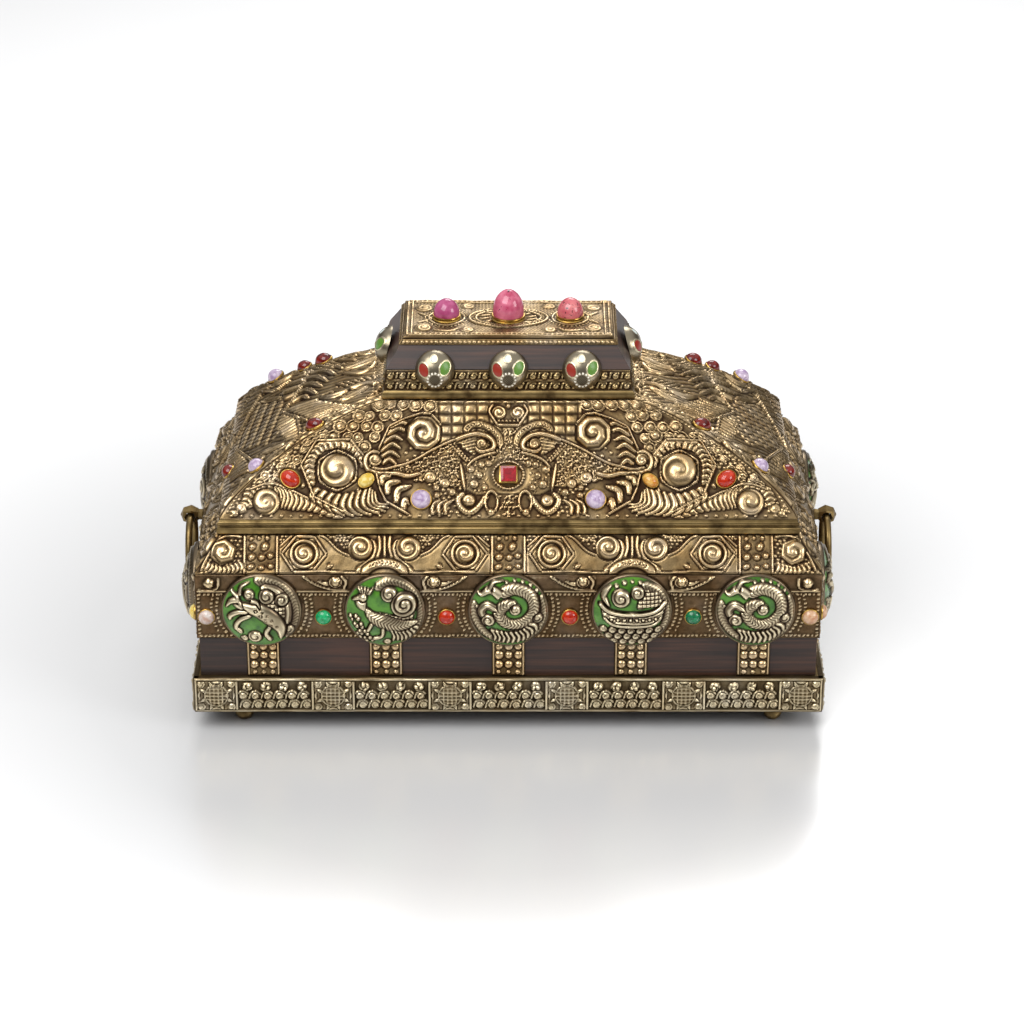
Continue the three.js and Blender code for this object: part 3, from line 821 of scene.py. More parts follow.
    def scatter(self, outline: Line, pitch: float, radius: float, height: float, hand: float = 1.0) -> None:
        """Strews small scrolls over an outline.

        Args:
            outline: its corners in order.
            pitch: from scroll to scroll.
            radius: of a scroll.
            height: of a scroll.
            hand: 1 or -1, the way they wind.
        """
        for x, y in self.sites(outline, pitch):
            size = radius * (1 + 0.12 * self.chance.standard_normal())
            self.ring(x, y, size * 0.9, 0.55, height * 0.8)
            self.scroll(x, y, size * 0.72, 1.1, hand, self.chance.uniform(0, 360), height, swell=0.6)

    def strew(self, outline: Line, pitch: float, radius: float, height: float) -> None:
        """Strews uneven beads over an outline."""
        self.beads(self.sites(outline, pitch, 0.12), radius, height)

    def fringe(
        self, inner: Line, outer: Line, count: int, bow: float, height: float, swell: float = 1.0
    ) -> None:
        """Raises a row of bowed fronds, each from a place on one curve to its place on another.

        Args:
            inner: what the fronds' first ends follow.
            outer: what their last ends follow.
            count: how many fronds there are.
            bow: how far a frond bends to its left, as a share of its length.
            height: how far they stand out.
            swell: their width as a share of what is free.
        """
        a, b = curve(inner, count), curve(outer, count)
        middle = (a + b) / 2
        gaps = np.hypot(*np.gradient(middle, axis=0).T)
        for (x0, y0), (x1, y1), gap in zip(a, b, gaps):
            bent = ((x0 + x1) / 2 - bow * (y1 - y0), (y0 + y1) / 2 + bow * (x1 - x0))
            self.band([(x0, y0), bent, (x1, y1)], 0.58 * gap * swell, height, Taper.FROND, count=16, lean=0.3)

    def sheaf(self, lines: Sequence[Line], count: int, width: float, height: float, strands: float = 0.0) -> None:
        """Raises a row of feathers, each through one place on every line."""
        for points in zip(*(curve(line, count) for line in lines)):
            self.band([tuple(p) for p in points], width, height, Taper.FROND, strands=strands, lean=0.35, count=20)

    def squiggle(self, outline: Line, pitch: float, height: float) -> None:
        """Strews short bent strokes over an outline.

        Args:
            outline: its corners in order.
            pitch: from stroke to stroke.
            height: of a stroke.
        """
        for x, y in self.sites(outline, pitch, 0.1):
            c, s = np.array([1, 0.9]) * self.chance.uniform(0.6, 1.1) * pitch * 0.42
            bend = self.chance.choice([-1, 1]) * 0.3 * pitch
            self.band(
                [(x - c, y - s), (x - bend, y + bend), (x + c, y + s)], 0.2 * pitch, height, Taper.LEAF, count=8,
            )

    def seam(self, points: Line, width: float = 0.7, height: float = 2.6, count: int = 24) -> None:
        """Raises a thin line straight from place to place."""
        for a, b in zip(points, points[1:]):
            self.band([a, b], width, height, count=count)

    def curls(self, s: int, places: Sequence[tuple], height: float, turns: float = 1.1) -> None:
        """Raises small scrolls to one side of the middle, from their places and radii."""
        for x, y, radius in places:
            self.scroll(s * x, y, radius, turns, s, 0, height, swell=0.6)

    def almond(self, points: Line, width: float) -> None:
        """Raises an almond leaf with a rim round its veined middle."""
        self.band(points, width, 2.3, Taper.LEAF)
        self.band(points, width * 0.76, 0.9, Taper.LEAF)
        self.band(points, width * 0.6, 2.6, Taper.LEAF, strands=1.0)

    def wear(self, step: float) -> Array:
        """How rubbed each place is, with painted shade on slopes that face down the panel and painted light on those
        that face up it.

        Args:
            step: the grid's step, in millimetres.

        Returns:
            0 in a recess to 1 on a height, lowered on down-facing slopes as painted shade and raised on up-facing
            ones as painted light.
        """
        close = self.h - blur(self.h, max(1, round(0.8 / step)))
        wide = self.h - blur(self.h, max(2, round(2.4 / step)))
        broad = self.h - blur(self.h, max(3, round(7 / step)))
        # Painted light and shade: the slope up the panel darkens the undersides of the relief and lightens its upper
        # sides.
        lit = np.gradient(self.h, step, axis=0)
        return np.clip(0.5 + 0.5 * close + 0.2 * wide + 0.11 * broad - 0.1 * np.clip(lit, -1.5, 1.5), 0, 1)


@dataclass(frozen=True)
class Face:
    """A flat face of one side of the casket, across which a relief is laid."""

    side: Side
    reach: float
    foot: float
    lean: float
    length: float
    half_foot: float
    half_top: float

    def half(self, y: Array) -> Array:
        """Half the face's width at heights up it."""
        return self.half_foot + (self.half_top - self.half_foot) * y / self.length

    def place(self, x: Array, y: Array, h: Array) -> Array:
        """Places on the face in the casket's frame."""
        c, s = math.cos(self.lean), math.sin(self.lean)
        return turned(self.side, x, -self.reach + y * c - h * s, self.foot + y * s + h * c)


@dataclass(frozen=True)
class RoofEnd:
    """A short end of the roof, bent over in a rounded profile."""

    side: Side
    steps: int = 160

    def profile(self) -> tuple[Array, Array, Array, Array]:
        """The profile's way up, how far out it is, its height and its half width."""
        share = np.linspace(0, 1, self.steps) ** 1.5
        share = np.sort(np.concatenate([share, 1 - share[:-1] ** 2 * 0.5]))
        bulge = np.clip(1 - share**SIZES.roundness, 0, 1) ** (1 / SIZES.roundness)
        out = SIZES.block[0] + (SIZES.cove[0] - SIZES.block[0]) * bulge
        z = SIZES.rail_top + (SIZES.roof_top - SIZES.rail_top) * share
        y = np.concatenate([[0], np.cumsum(np.hypot(np.diff(out), np.diff(z)))])
        return y, out, z, SIZES.cove[1] + (SIZES.block[1] - SIZES.cove[1]) * share

    @property
    def length(self) -> float:
        """The way up the profile."""
        return float(self.profile()[0][-1])

    def half(self, y: Array) -> Array:
        """Half the end's width at places up it."""
        way, _, _, half = self.profile()
        return np.interp(y, way, half)

    def place(self, x: Array, y: Array, h: Array) -> Array:
        """Places on the end in the casket's frame.

        Args:
            x: across the end.
            y: up the profile.
            h: out of it.

        Returns:
            An array of places, in millimetres.
        """
        way, out, z, _ = self.profile()
        smooth = np.linspace(0, way[-1], 40)
        o, u = np.interp(smooth, way, out), np.interp(smooth, way, z)
        do, du = np.gradient(o, smooth), np.gradient(u, smooth)
        no, nu = np.interp(y, smooth, du), np.interp(y, smooth, -do)
        size = np.hypot(no, nu)
        return turned(
            self.side, x, -(np.interp(y, way, out) + h * no / size), np.interp(y, way, z) + h * nu / size
        )


def turned(side: Side, x: Array, y: Array, z: Array) -> Array:
    """Turns places made for the front round to a side.

    Args:
        side: where they go.
        x: along the front.
        y: from the back to the front, so negative at the front.
        z: up.

    Returns:
        An array of places.
    """
    c, s = [(1, 0), (0, 1), (-1, 0), (0, -1)][side.value]
    return np.stack([c * x - s * y, s * x + c * y, z + 0 * x], axis=-1)


def deselect() -> None:
    """Leaves nothing selected, so that an operator acts on the new piece alone."""
    bpy.ops.object.select_all(action="DESELECT")


def give(piece: Piece, name: str, values: Array, kind: str = "FLOAT") -> None:
    """Stores a value for each of a piece's points.

    Args:
        piece: the piece.
        name: the attribute's name.
        values: one value or colour for each point, in the mesh's order.
        kind: the attribute's type.
    """
    layer = piece.data.attributes.new(name, kind, "POINT")
    layer.data.foreach_set("value" if kind == "FLOAT" else "color", np.ascontiguousarray(values, np.float32).ravel())


def dress(
    piece: Piece,
    name: str,
    material: Material,
    slot: str,
    nodes: Sequence[str] = (),
    body: str = "casket",
    smooth: bool = True,
) -> Piece:
    """Names and finishes a piece and ties it to the frame.

    Args:
        piece: the new piece, its place in its mesh.
        name: its name.
        material: its finish.
        slot: the record's material slot that the finish belongs to; not used.
        nodes: the solids it stands for.
        body: the body it moves with.
        smooth: whether its faces are shaded smooth.

    Returns:
        The piece.
    """
    piece.name = piece.data.name = name
    piece.data.materials.clear()
    piece.data.materials.append(material)
    if smooth:
        piece.data.shade_smooth()
    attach(piece, body)
    if nodes:
        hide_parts(*nodes)
    return piece


def grid_piece(columns: int, rows: int) -> tuple[Piece, Array, Array]:
    """Adds a grid and tells which of its points is where.

    Args:
        columns: points across.
        rows: points up.

    Returns:
        The piece, and for each of its points the column and the row.
    """
    deselect()
    bpy.ops.mesh.primitive_grid_add(x_subdivisions=columns - 1, y_subdivisions=rows - 1, size=1)
    piece = bpy.context.object
    places = points_of(piece)
    across = np.rint((places[:, 0] + 0.5) * (columns - 1)).astype(int)
    up = np.rint((places[:, 1] + 0.5) * (rows - 1)).astype(int)
    return piece, across, up


def points_of(piece: Piece) -> Array:
    """Where a piece's points are, a row for each."""
    flat = np.empty(len(piece.data.vertices) * 3, np.float32)
    piece.data.vertices.foreach_get("co", flat)
    return flat.reshape(-1, 3).astype(float)


def close_up() -> None:
    """Joins the new piece's points where they fall together, and turns its faces outwards."""
    bpy.ops.object.mode_set(mode="EDIT")
    bpy.ops.mesh.select_all(action="SELECT")
    bpy.ops.mesh.remove_doubles(threshold=JOIN)
    bpy.ops.mesh.normals_make_consistent(inside=False)
    bpy.ops.object.mode_set(mode="OBJECT")


def move_points(piece: Piece, places: Array) -> None:
    """Puts a piece's points at places given in millimetres."""
    piece.data.vertices.foreach_set("co", (places * MM).astype(np.float32).ravel())
    piece.data.update()


# The hand-worked sheet is slightly dented, in marks about 3 and 9 mm across: their reach and depth.
DENTS = ((1.2, 0.05), (4.0, 0.15))


@dataclass
class EmbossedSheet:
    """A sheet of embossed metal over one face: worked in a fine grid, with its edges turned in."""

    name: str
    face: Face | RoofEnd
    step: float
    work: Callable[[Relief], None]
    nodes: Sequence[str]
    slot: str = "gilt_metal"
    edge: float = 1.1
    fade: float = 1.2
    lift: float = 0.0
    contrast: float = 1.0
    rubbed: float = 0.5
    seed: int = 1

    def build(self, material: Material) -> Piece:
        """Works the relief and makes the sheet.

        Args:
            material: its finish.

        Returns:
            The sheet.
        """
        length = self.face.length
        widest = float(np.max(self.face.half(np.array([0.0, length]))))
        rows = max(8, round(length / self.step)) + 1
        columns = max(8, round(2 * widest / self.step)) + 1
        y = np.linspace(0, length, rows)
        t = np.linspace(-1, 1, columns)
        relief = Relief(t[None, :] * self.face.half(y)[:, None], np.repeat(y[:, None], columns, axis=1), self.seed)
        self.work(relief)
        for reach, size in DENTS:
            dents = blur(relief.chance.standard_normal(relief.h.shape), max(1, round(reach / self.step)))
            relief.h += size * dents / dents.std()
        inset = np.minimum(relief.y, length - relief.y)
        inset = np.minimum(inset, self.face.half(y)[:, None] - np.abs(relief.x))
        relief.h *= np.clip(inset / self.fade, 0, 1)
        # The rubbing here includes painted shade on the relief's undersides and painted light on its upper sides.
        wear = np.clip(self.rubbed + self.contrast * (relief.wear(self.step) - 0.5), 0, 1)
        piece, across, up = grid_piece(columns + 2, rows + 2)
        i, j = np.clip(across - 1, 0, columns - 1), np.clip(up - 1, 0, rows - 1)
        rim = (across == 0) | (across == columns + 1) | (up == 0) | (up == rows + 1)
        height = np.where(rim, -self.edge, relief.h[j, i]) + self.lift
        move_points(piece, self.face.place(relief.x[j, i], relief.y[j, i], height))
        give(piece, "wear", np.where(rim, 0.25, wear[j, i]))
        log.info("%s: %d points", self.name, len(piece.data.vertices))
        return dress(piece, self.name, material, self.slot, self.nodes)


# Each cabochon's stone: its colour, the paler colour of its clouds, and how clear it is.
STONES = {
    "garnet": ("4c0504", "8f1e0b", 0.2),
    "coral_carnelian": ("a01706", "d03a12", 0.15),
    "amber_chalcedony": ("c4761c", "efc46a", 0.2),
    "yellow_chalcedony": ("cfa92e", "ecdc90", 0.1),
    "lilac_amethyst": ("9c84a6", "d6c6d6", 0.1),
    "chrysoprase": ("0b7a43", "2fc07c", 0.1),
    "dark_chrysoprase": ("06462a", "1f8a58", 0.15),
    "pale_opal": ("b79482", "d6cdc6", 0.1),
    "peach_opal": ("b9805a", "dcbf9e", 0.1),
    "ruby": ("7c0210", "b00a1c", 0.2),
}


@dataclass
class Finishes:
    """Every finish of the casket, made once."""

    gilt: Material = field(default_factory=EmbossedGilt().build)
    wall: Material = field(
        default_factory=EmbossedGilt("smooth_dark_gilt", "2b2017", "4a3b28", "745d44", "d0ba92", 0.28, 0.46).build
    )
    worn: Material = field(
        default_factory=EmbossedGilt("worn_embossed_gilt", "32291c", "5c4e38", "8f7f62", "d8c8a4", 0.3, 0.6).build
    )
    dim: Material = field(
        default_factory=EmbossedGilt("dim_embossed_gilt", "2c1e12", "463521", "665338", "ab9468").build
    )
    plain: Material = field(default_factory=PlainGilt().build)
    collet: Material = field(default_factory=PlainGilt("collet_gilt", "6e5228", "cba758", 0.24).build)
    enamel: Material = field(default_factory=ChasedMedallion().build)
    silver: Material = field(default_factory=InsetSilver().build)
    wood: Material = field(default_factory=Palisander().build)
    rhodonite: Material = field(default_factory=Rhodonite().build)
    rose: Material = field(default_factory=Rhodonite("rose_rhodonite", "8e2e58", "b65a84", share=0.2).build)
    speckled: Material = field(default_factory=Rhodonite("speckled_rhodonite", "b44c58", "d07c7c", share=0.37).build)
    stones: dict[str, Material] = field(
        default_factory=lambda: {name: PolishedStone(name, *look).build() for name, look in STONES.items()}
    )


@dataclass(frozen=True)
class Setting:
    """One stone in its collet: its place on a face, its kind, and its size in millimetres and degrees."""

    tag: str
    x: float
    y: float
    stone: str
    radius: float = 5.2
    height: float = 4.6
    stretch: float = 1.0
    turn: float = 0.0


@dataclass
class Cabochon:
    """A round or oval cabochon in a smooth collet."""

    finishes: Finishes

    def set_in(self, face: Face | RoofEnd, stone: Setting, slot: str = "gilt_metal") -> None:
        """Sets a stone on a face.

        Args:
            face: what it is set in.
            stone: the stone and its place.
            slot: the record's material slot of the sheet that holds it.
        """
        deselect()
        bpy.ops.mesh.primitive_uv_sphere_add(segments=28, ring_count=16, radius=1)
        dome = bpy.context.object
        self._place(dome, face, stone, stone.height, 0.3, True)
        dress(dome, f"{stone.tag}_stone", self.finishes.stones[stone.stone], slot)
        deselect()
        bpy.ops.mesh.primitive_torus_add(major_segments=36, minor_segments=8, major_radius=1, minor_radius=0.09)
        collet = bpy.context.object
        self._place(collet, face, stone, stone.height * 2.2, stone.height * 0.16, False)
        dress(collet, f"{stone.tag}_collet", self.finishes.collet, slot)

    @staticmethod
    def _place(
        piece: Piece, face: Face | RoofEnd, stone: Setting, height: float, lift: float, egg: bool
    ) -> None:
        """Bends a unit form on to a face.

        Args:
            piece: the unit form.
            face: where it goes.
            stone: the stone and its place.
            height: the form's height.
            lift: how far its middle stands out.
            egg: whether its lower half is sunk and its sides are steep.
        """
        x, y, turn = stone.x, stone.y, stone.turn
        p = points_of(piece)
        rise = np.sign(p[:, 2]) * np.abs(p[:, 2]) ** 0.9 if egg else p[:, 2]
        rise = np.where(rise < 0, rise * 0.25, rise) if egg else rise
        c, s = math.cos(math.radians(turn)), math.sin(math.radians(turn))
        px, py = p[:, 0] * stone.radius * stone.stretch, p[:, 1] * stone.radius
        middle = face.place(np.array([x]), np.array([y]), np.array([0.0]))[0]
        right = face.place(np.array([x + 0.5]), np.array([y]), np.array([0.0]))[0] - middle
        upward = face.place(np.array([x]), np.array([y + 0.5]), np.array([0.0]))[0] - middle
        out = face.place(np.array([x]), np.array([y]), np.array([1.0]))[0] - middle
        right /= np.linalg.norm(right)
        upward = np.cross(out, right)
        a, b = px * c - py * s, px * s + py * c
        places = middle + a[:, None] * right + b[:, None] * upward + (lift + rise * height)[:, None] * out
        move_points(piece, places)


@dataclass
class Roof:
    """The four embossed roof sheets with their stones."""

    finishes: Finishes
    step: float = 0.68
    step_end: float = 0.92
    step_back: float = 1.15

    def face(self, side: Side) -> Face | RoofEnd:
        """The face of one side of the roof."""
        if not side.long:
            return RoofEnd(side)
        rise, run = SIZES.roof_top - SIZES.rail_top, SIZES.cove[1] - SIZES.block[1]
        return SlopedFace(
            side, SIZES.cove[1], SIZES.rail_top, math.atan2(rise, run), math.hypot(rise, run), SIZES.cove[0],
            SIZES.block[0],
        )

    def stones(self, side: Side) -> list[Setting]:
        """The stones of one side.

        Args:
            side: which side.

        Returns:
            Their settings.
        """
        found = []
        if side.long:
            for s, tag in ((-1, "left"), (1, "right")):
                amber = "yellow_chalcedony" if s < 0 else "amber_chalcedony"
                name = f"roof_{side.word}_{tag}"
                found += [
                    Setting(f"{name}_round", s * 54.8, 12.8, "lilac_amethyst", 6.3, 6.2),
                    Setting(f"{name}_small", s * 89.3, 25, amber, 4.0, 4.2, 1.35, -s * 40),
                    Setting(f"{name}_oval", s * 137, 26, "coral_carnelian", 5.3, 5.6, 1.25, s * 40),
                ]
            return found
        n = 1 if side is Side.LEFT else -1
        for tag, x, y, stone, radius, height, stretch, turn in (
            ("near_garnet", 46.5, 74.8, "garnet", 4.9, 5.6, 1.35, 60),
            ("near_lilac", 61.7, 32.5, "lilac_amethyst", 5.6, 6.2, 1.0, 0),
            ("low_garnet", 31.5, 5.5, "garnet", 4.9, 5.2, 1.1, 0),
            ("far_lilac", -69.0, 38.0, "lilac_amethyst", 5.6, 6.4, 1.0, 0),
            ("far_garnet", -59.0, 61.0, "garnet", 4.5, 5.0, 1.2, 60),
            ("top_garnet", -53.5, 75.8, "garnet", 5.2, 5.8, 1.2, 60),
        ):
            found.append(Setting(f"roof_{side.word}_{tag}", n * x, y, stone, radius, height, stretch, n * turn))
        return found

    def build(self) -> None:
        """Works the sheets and sets the stones."""
        works = {Side.FRONT: (self.work_front, self.step), Side.BACK: (self.work_back, self.step_back)}
        setter = Cabochon(self.finishes)
        for side in Side:
            work, step = works.get(side, (self.work_end, self.step_end))

            def work_round(r: Relief, side: Side = side, work: Callable = work) -> None:
                """Lays the side's relief and levels it under the stones."""
                work(r) if side.long else work(r, 1 if side is Side.LEFT else -1)
                for stone in self.stones(side):
                    r.bead(stone.x, stone.y, stone.radius * 1.08, 0.5, stone.stretch, stone.turn)

            sheet = EmbossedSheet(
                f"roof_relief_{side.word}", self.face(side), step, work_round, [f"roof_sheet_{side.word}"],
            )
            sheet.contrast, sheet.rubbed = (1.1, 0.5) if side.long else (1.8, 0.57)
            sheet.build(self.finishes.gilt)
            for stone in self.stones(side):
                setter.set_in(self.face(side), stone)
        self.set_square_stone(self.face(Side.FRONT))

    def work_front(self, r: Relief) -> None:
        """Lays the front's two-headed bird under a crown, between scrolls and fronds."""
        self.lay_ground(r)
        for s in (1, -1):
            self.lay_corner(r, s)
            self.lay_great_scroll(r, s)
            self.lay_upper_scroll(r, s)
            self.lay_wing(r, s)
            self.lay_claw(r, s)
        self.lay_crown(r)

    def work_back(self, r: Relief) -> None:
        """Lays the back's plainer scrolls."""
        self.lay_ground(r)
        for s in (1, -1):
            self.lay_corner(r, s)
            self.lay_great_scroll(r, s)
            self.lay_upper_scroll(r, s)
            r.band(sided(s, (84, 36), (62, 30), (36, 42), (8, 30)), 4, 2.2, Taper.LEAF, ribs=2.6)
            r.scroll(s * 22, 17, 9, 1.8, s, 90, 2.2, 6)

    @staticmethod
    def lay_ground(r: Relief) -> None:
        """Lays the chequer of cushions, the strewn rosettes and the rows of beads."""
        r.patch([(-46, 49), (46, 49), (46, 76.5), (-46, 76.5)], cushions(8.0, 6.8), 1.3)
        for s in (1, -1):
            above = sided(s, (47, 77), (84, 77), (132, 45), (118, 42), (86, 44), (72, 66), (50, 72))
            r.scatter(above, 8.0, 3.9, 1.7, s)
            r.strew(sided(s, (30, 3), (50, 3), (50, 28), (30, 26)), 3.4, 1.1, 1.0)
            edge = sided(s, (177, 4), (158, 27), (120, 58), (113, 54), (126, 36), (146, 22), (164, 4))
            r.strew(edge, 2.9, 1.05, 1.2)
            r.scatter(sided(s, (170, 8), (152, 30), (122, 54), (118, 49), (144, 26), (160, 10)), 6.4, 2.7, 1.7, s)
            r.string(sided(s, (176, 5), (164, 24), (140, 42), (110, 63), (86, 76)), 2.7, 0.85, 1.0)
        r.beads([(x, 2.4) for x in np.arange(-173.5, 174, 6.2)], 1.0, 1.3)

    @staticmethod
    def lay_corner(r: Relief, s: int) -> None:
        """Lays the small scroll and ribbed leaf in a lower corner."""
        line = sided(s, (103, 4.6), (124, 12.8), (140, 20.5), (151, 23), (163, 19))
        r.fringe(line[:4], sided(s, (112, 4.4), (126, 5.6), (138, 6.4), (146, 9)), 13, -s * 0.2, 1.7, 1.1)
        r.fringe(
            sided(s, (150, 18), (159, 16), (163, 9)), sided(s, (152, 22), (165, 19.5), (168, 8)), 7, s * 0.25, 1.5,
        )
        r.band(line, 0.7, 2.3)
        r.scroll(s * 152, 11.2, 8.6, 0.95, -s, 200, 2.9, swell=0.5)
        r.curls(s, ((167.5, 7, 3.4), (171.5, 3.8, 2.2), (122, 27, 2.6), (143, 30.5, 2.3), (129.5, 22, 2.0)), 1.5)

    @staticmethod
    def lay_great_scroll(r: Relief, s: int) -> None:
        """Lays the six-cornered scroll in its collar of fronds."""
        line = [(103, 4.6), (122, 14.5), (130.5, 35), (121, 51), (99.5, 51.5), (86.5, 35.5), (95, 18)]
        around = sided(s, (121.5, 23), (121.6, 37), (114, 44.8), (101, 44.5), (93, 36))
        rim = sided(s, (125.5, 22), (128.5, 36), (119.5, 49), (101, 49.5), (89.5, 37))
        r.patch(sided(s, *line[1:]), even(0.3), 1.0)
        r.fringe(around, rim, 17, s * 0.35, 2.2, 1.15)
        inner = sided(s, (119, 20), (108, 16.5), (97, 17.5), (88, 21), (84, 18))
        outer = sided(s, (119, 11), (105, 3.4), (91, 3.0), (79, 4.4), (74, 9.5))
        r.fringe(inner, outer, 11, s * 0.34, 2.6, 1.12)
        r.seam(sided(s, *line), 0.7, 2.5, 48)
        r.scroll(s * 107.5, 31.5, 14.0, 0.2, -s, 30, 1.3, 6, swell=0.1)
        corners = arc(107.5, 31.5, 13.2, 13.2, (0.5, 0.5 + TURN[1]), 7)
        r.seam(sided(s, *corners), 0.9, 2.6, 48)
        r.scroll(s * 107.5, 31.5, 11.2, 0.8, -s, 60, 4.0, swell=0.6)

    @staticmethod
    def lay_upper_scroll(r: Relief, s: int) -> None:
        """Lays the upper scroll with its fan of hooked fronds."""
        border = [(82.3, 43.8), (75.2, 60), (64.7, 65.4), (54.4, 68.8), (48.5, 68), (43.2, 62), (42.6, 54), (46, 48)]
        r.patch(sided(s, *border, (58, 37), (70, 34), (80, 34)), even(0.3), 1.0)
        starts = [(79, 35.5), (80.3, 39.6), (80.2, 43.5), (78.7, 48.8), (76.8, 54.1), (75, 59.5)]
        peaks = [(74.8, 38.6), (74.2, 43.2), (73.6, 48.6), (72.4, 53.4), (69.8, 58.6), (67.9, 62.4)]
        ends = [(70.4, 35), (68.7, 40.3), (67.8, 45.6), (66.5, 51), (63.7, 56.4), (61.8, 60.6)]
        r.sheaf([sided(s, *line) for line in (starts, peaks, ends)], 6, 1.9, 2.5, 1.0)
        r.beads(sided(s, (63.5, 38), (59, 41), (64.5, 43), (54, 42.6), (61.2, 46), (57.6, 36.6)), 1.3, 1.4)
        r.seam(sided(s, *border))
        r.scroll(s * 53.6, 55.6, 11.6, 1.35, s, 200, 3.6, 8, swell=0.45)

    @staticmethod
    def lay_wing(r: Relief, s: int) -> None:
        """Lays a wing with its curled tip, the shoulder, the neck and the head."""
        at = partial(sided, s)
        wing = at(
            (76, 31.5), (55, 39.6), (37.6, 49), (30.5, 39.6), (29.2, 21), (35.6, 21), (53.6, 24.4), (67.7, 28.3),
        )
        r.patch(wing, lambda x, y: 0.8 + 0.25 * np.cos(y / 4), 1.0)
        r.strew(wing, 3.3, 0.9, 1.5)
        r.squiggle(wing, 3.6, 2.1)
        r.patch(at((30, 36), (14, 48), (0, 49), (0, 17), (20, 16), (28, 20)), even(0.5), 1.0)
        r.squiggle(at((13, 38), (9, 50), (3, 58), (0, 58), (0, 36)), 2.8, 1.7)
        r.strew(at((28, 35), (13, 43), (13, 17), (27, 20)), 3.1, 0.8, 1.1)
        for shift in (0, 2.3):
            r.string(at((37.6 - shift, 49.5 + shift * 0.4), (32 - shift, 43.5), (26.7 - shift, 38)), 2.1, 0.9, 2.2)
        r.curls(
            s,
            (
                (18.3, 28.3, 2.3), (12.4, 36, 2.4), (17, 35.2, 2.4), (23.8, 32.3, 2.8), (21.5, 22.6, 3.0),
                (15.1, 20.6, 2.4),
            ),
            2.1,
        )
        r.band(at((30.2, 37), (28.7, 27), (27.3, 18)), 1.5, 2.9, Taper.LEAF)
        crest = at((27, 55), (25.4, 59.4), (19.7, 61.6), (11.9, 59), (6.1, 53.2), (5.2, 46))
        r.band(crest, 2.6, 1.5)
        r.string(crest, 2.1, 0.8, 2.3)
        rim = at(
            (81, 42.6), (85.2, 43.4), (89.6, 39.8), (89.6, 34.6), (86.6, 31), (78.6, 29.3), (70.9, 29.6), (62.6, 28),
            (55, 29.8),
        )
        r.band(rim, 1.7, 2.7)
        line = [
            (86, 33.4), (78.6, 32.2), (71, 34), (64.6, 35.6), (57.5, 38.9), (48.5, 44.2), (37.6, 49.8), (29.3, 53),
        ]
        r.band(at(*line), 0.9, 2.9, count=90)
        r.scroll(s * 84, 38.3, 4.3, 1.0, s, 250, 3.0, swell=0.5)
        r.patch(
            at((30, 50), (22, 53), (12, 50), (12, 44), (22, 42), (29, 46)), waves(2.1, -12 * s, 0.3), 1.3, base=0.4,
        )
        r.band(
            at(
                (33.8, 51), (26.7, 53.8), (19.6, 55.1), (13.2, 53.5), (9.3, 49.5), (10, 45.3), (16.4, 43.6),
                (21, 46.4),
            ),
            1.8, 3.3,
        )
        r.scroll(s * 16.6, 48.6, 3.9, 1.1, s, 240, 3.2, swell=0.6)
        r.band(at((7.4, 43.2), (16.4, 40.9), (22.2, 38), (26.3, 33.4)), 1.0, 2.5)

    @staticmethod
    def lay_claw(r: Relief, s: int) -> None:
        """Lays a claw, the loop beside it and the fronds by the round stone."""
        at = partial(sided, s)
        starts, peaks = at((80, 22), (76, 16), (70.5, 10.5), (66, 6)), at(
            (79, 26.4), (75, 22.6), (69, 18.6), (64.8, 12),
        )
        r.sheaf([starts, peaks, at((74, 27.4), (67.7, 24.4), (61, 21.4), (61.6, 10))], 4, 2.4, 2.7, 1.5)
        r.seam(at((83, 30), (81.1, 21), (77.2, 12), (62, 3)))
        for k in range(3):
            x = 45.4 - 4.2 * k
            r.band(at((x + 2.2, 3), (x + 2.4, 9), (x - 2.8, 12.6)), 1.6, 2.3, Taper.FROND, strands=1, count=20)
        r.curls(
            s, ((49.1, 27, 4.0), (39.8, 23.2, 3.4), (45.4, 20.4, 2.2), (35.4, 17.5, 2.6), (45, 15.6, 2.2)), 2.2, 1.2,
        )
        r.band(at((27.9, 17.4), (31.7, 12.6), (29.2, 7), (24, 4.6), (18.9, 8), (13, 16)), 2.0, 2.6, ribs=1.7, slant=0)
        r.scroll(s * 24.6, 12.2, 4.2, 1.0, s, 0, 2.8, swell=0.75)
        r.ring(s * 10.6, 11.4, 6.8, 1.2, 2.3, 0.58)
        r.bead(s * 11, 4.8, 2.4, 2.4)
        r.squiggle(at((6, 17), (5, 3), (-1, 3), (-1, 17)), 2.9, 1.5)

    @staticmethod
    def lay_crown(r: Relief) -> None:
        """Lays the crown and the beaded oval round the square stone."""
        r.patch([(-11, 75.5), (-12, 69), (-7, 60), (7, 60), (12, 69), (11, 75.5)], even(0.2), 1.0)
        for s in (1, -1):
            r.scroll(s * 5.8, 69, 4.6, 1.3, s, 90, 2.4)
            r.band(sided(s, (6.4, 60.5), (9.5, 65), (12, 70), (9.5, 74.5)), 0.9, 2.5)
        r.band([(-7, 60.8), (7, 60.8)], 1.1, 2.5)
        r.string([(-6, 63.6), (6, 63.6)], 2.2, 0.85, 1.8)
        r.bead(0, 73.5, 1.7, 2.4)
        oval = arc(0, OVAL_LEVEL, 9.6, 8.8, TURN, 33)
        r.bead(0, OVAL_LEVEL, 9.6, 0.9, 1.1)
        r.bead(0, OVAL_LEVEL, 7.6, -0.8, 1.1)
        r.string(oval, 1.9, 0.75, 1.9)

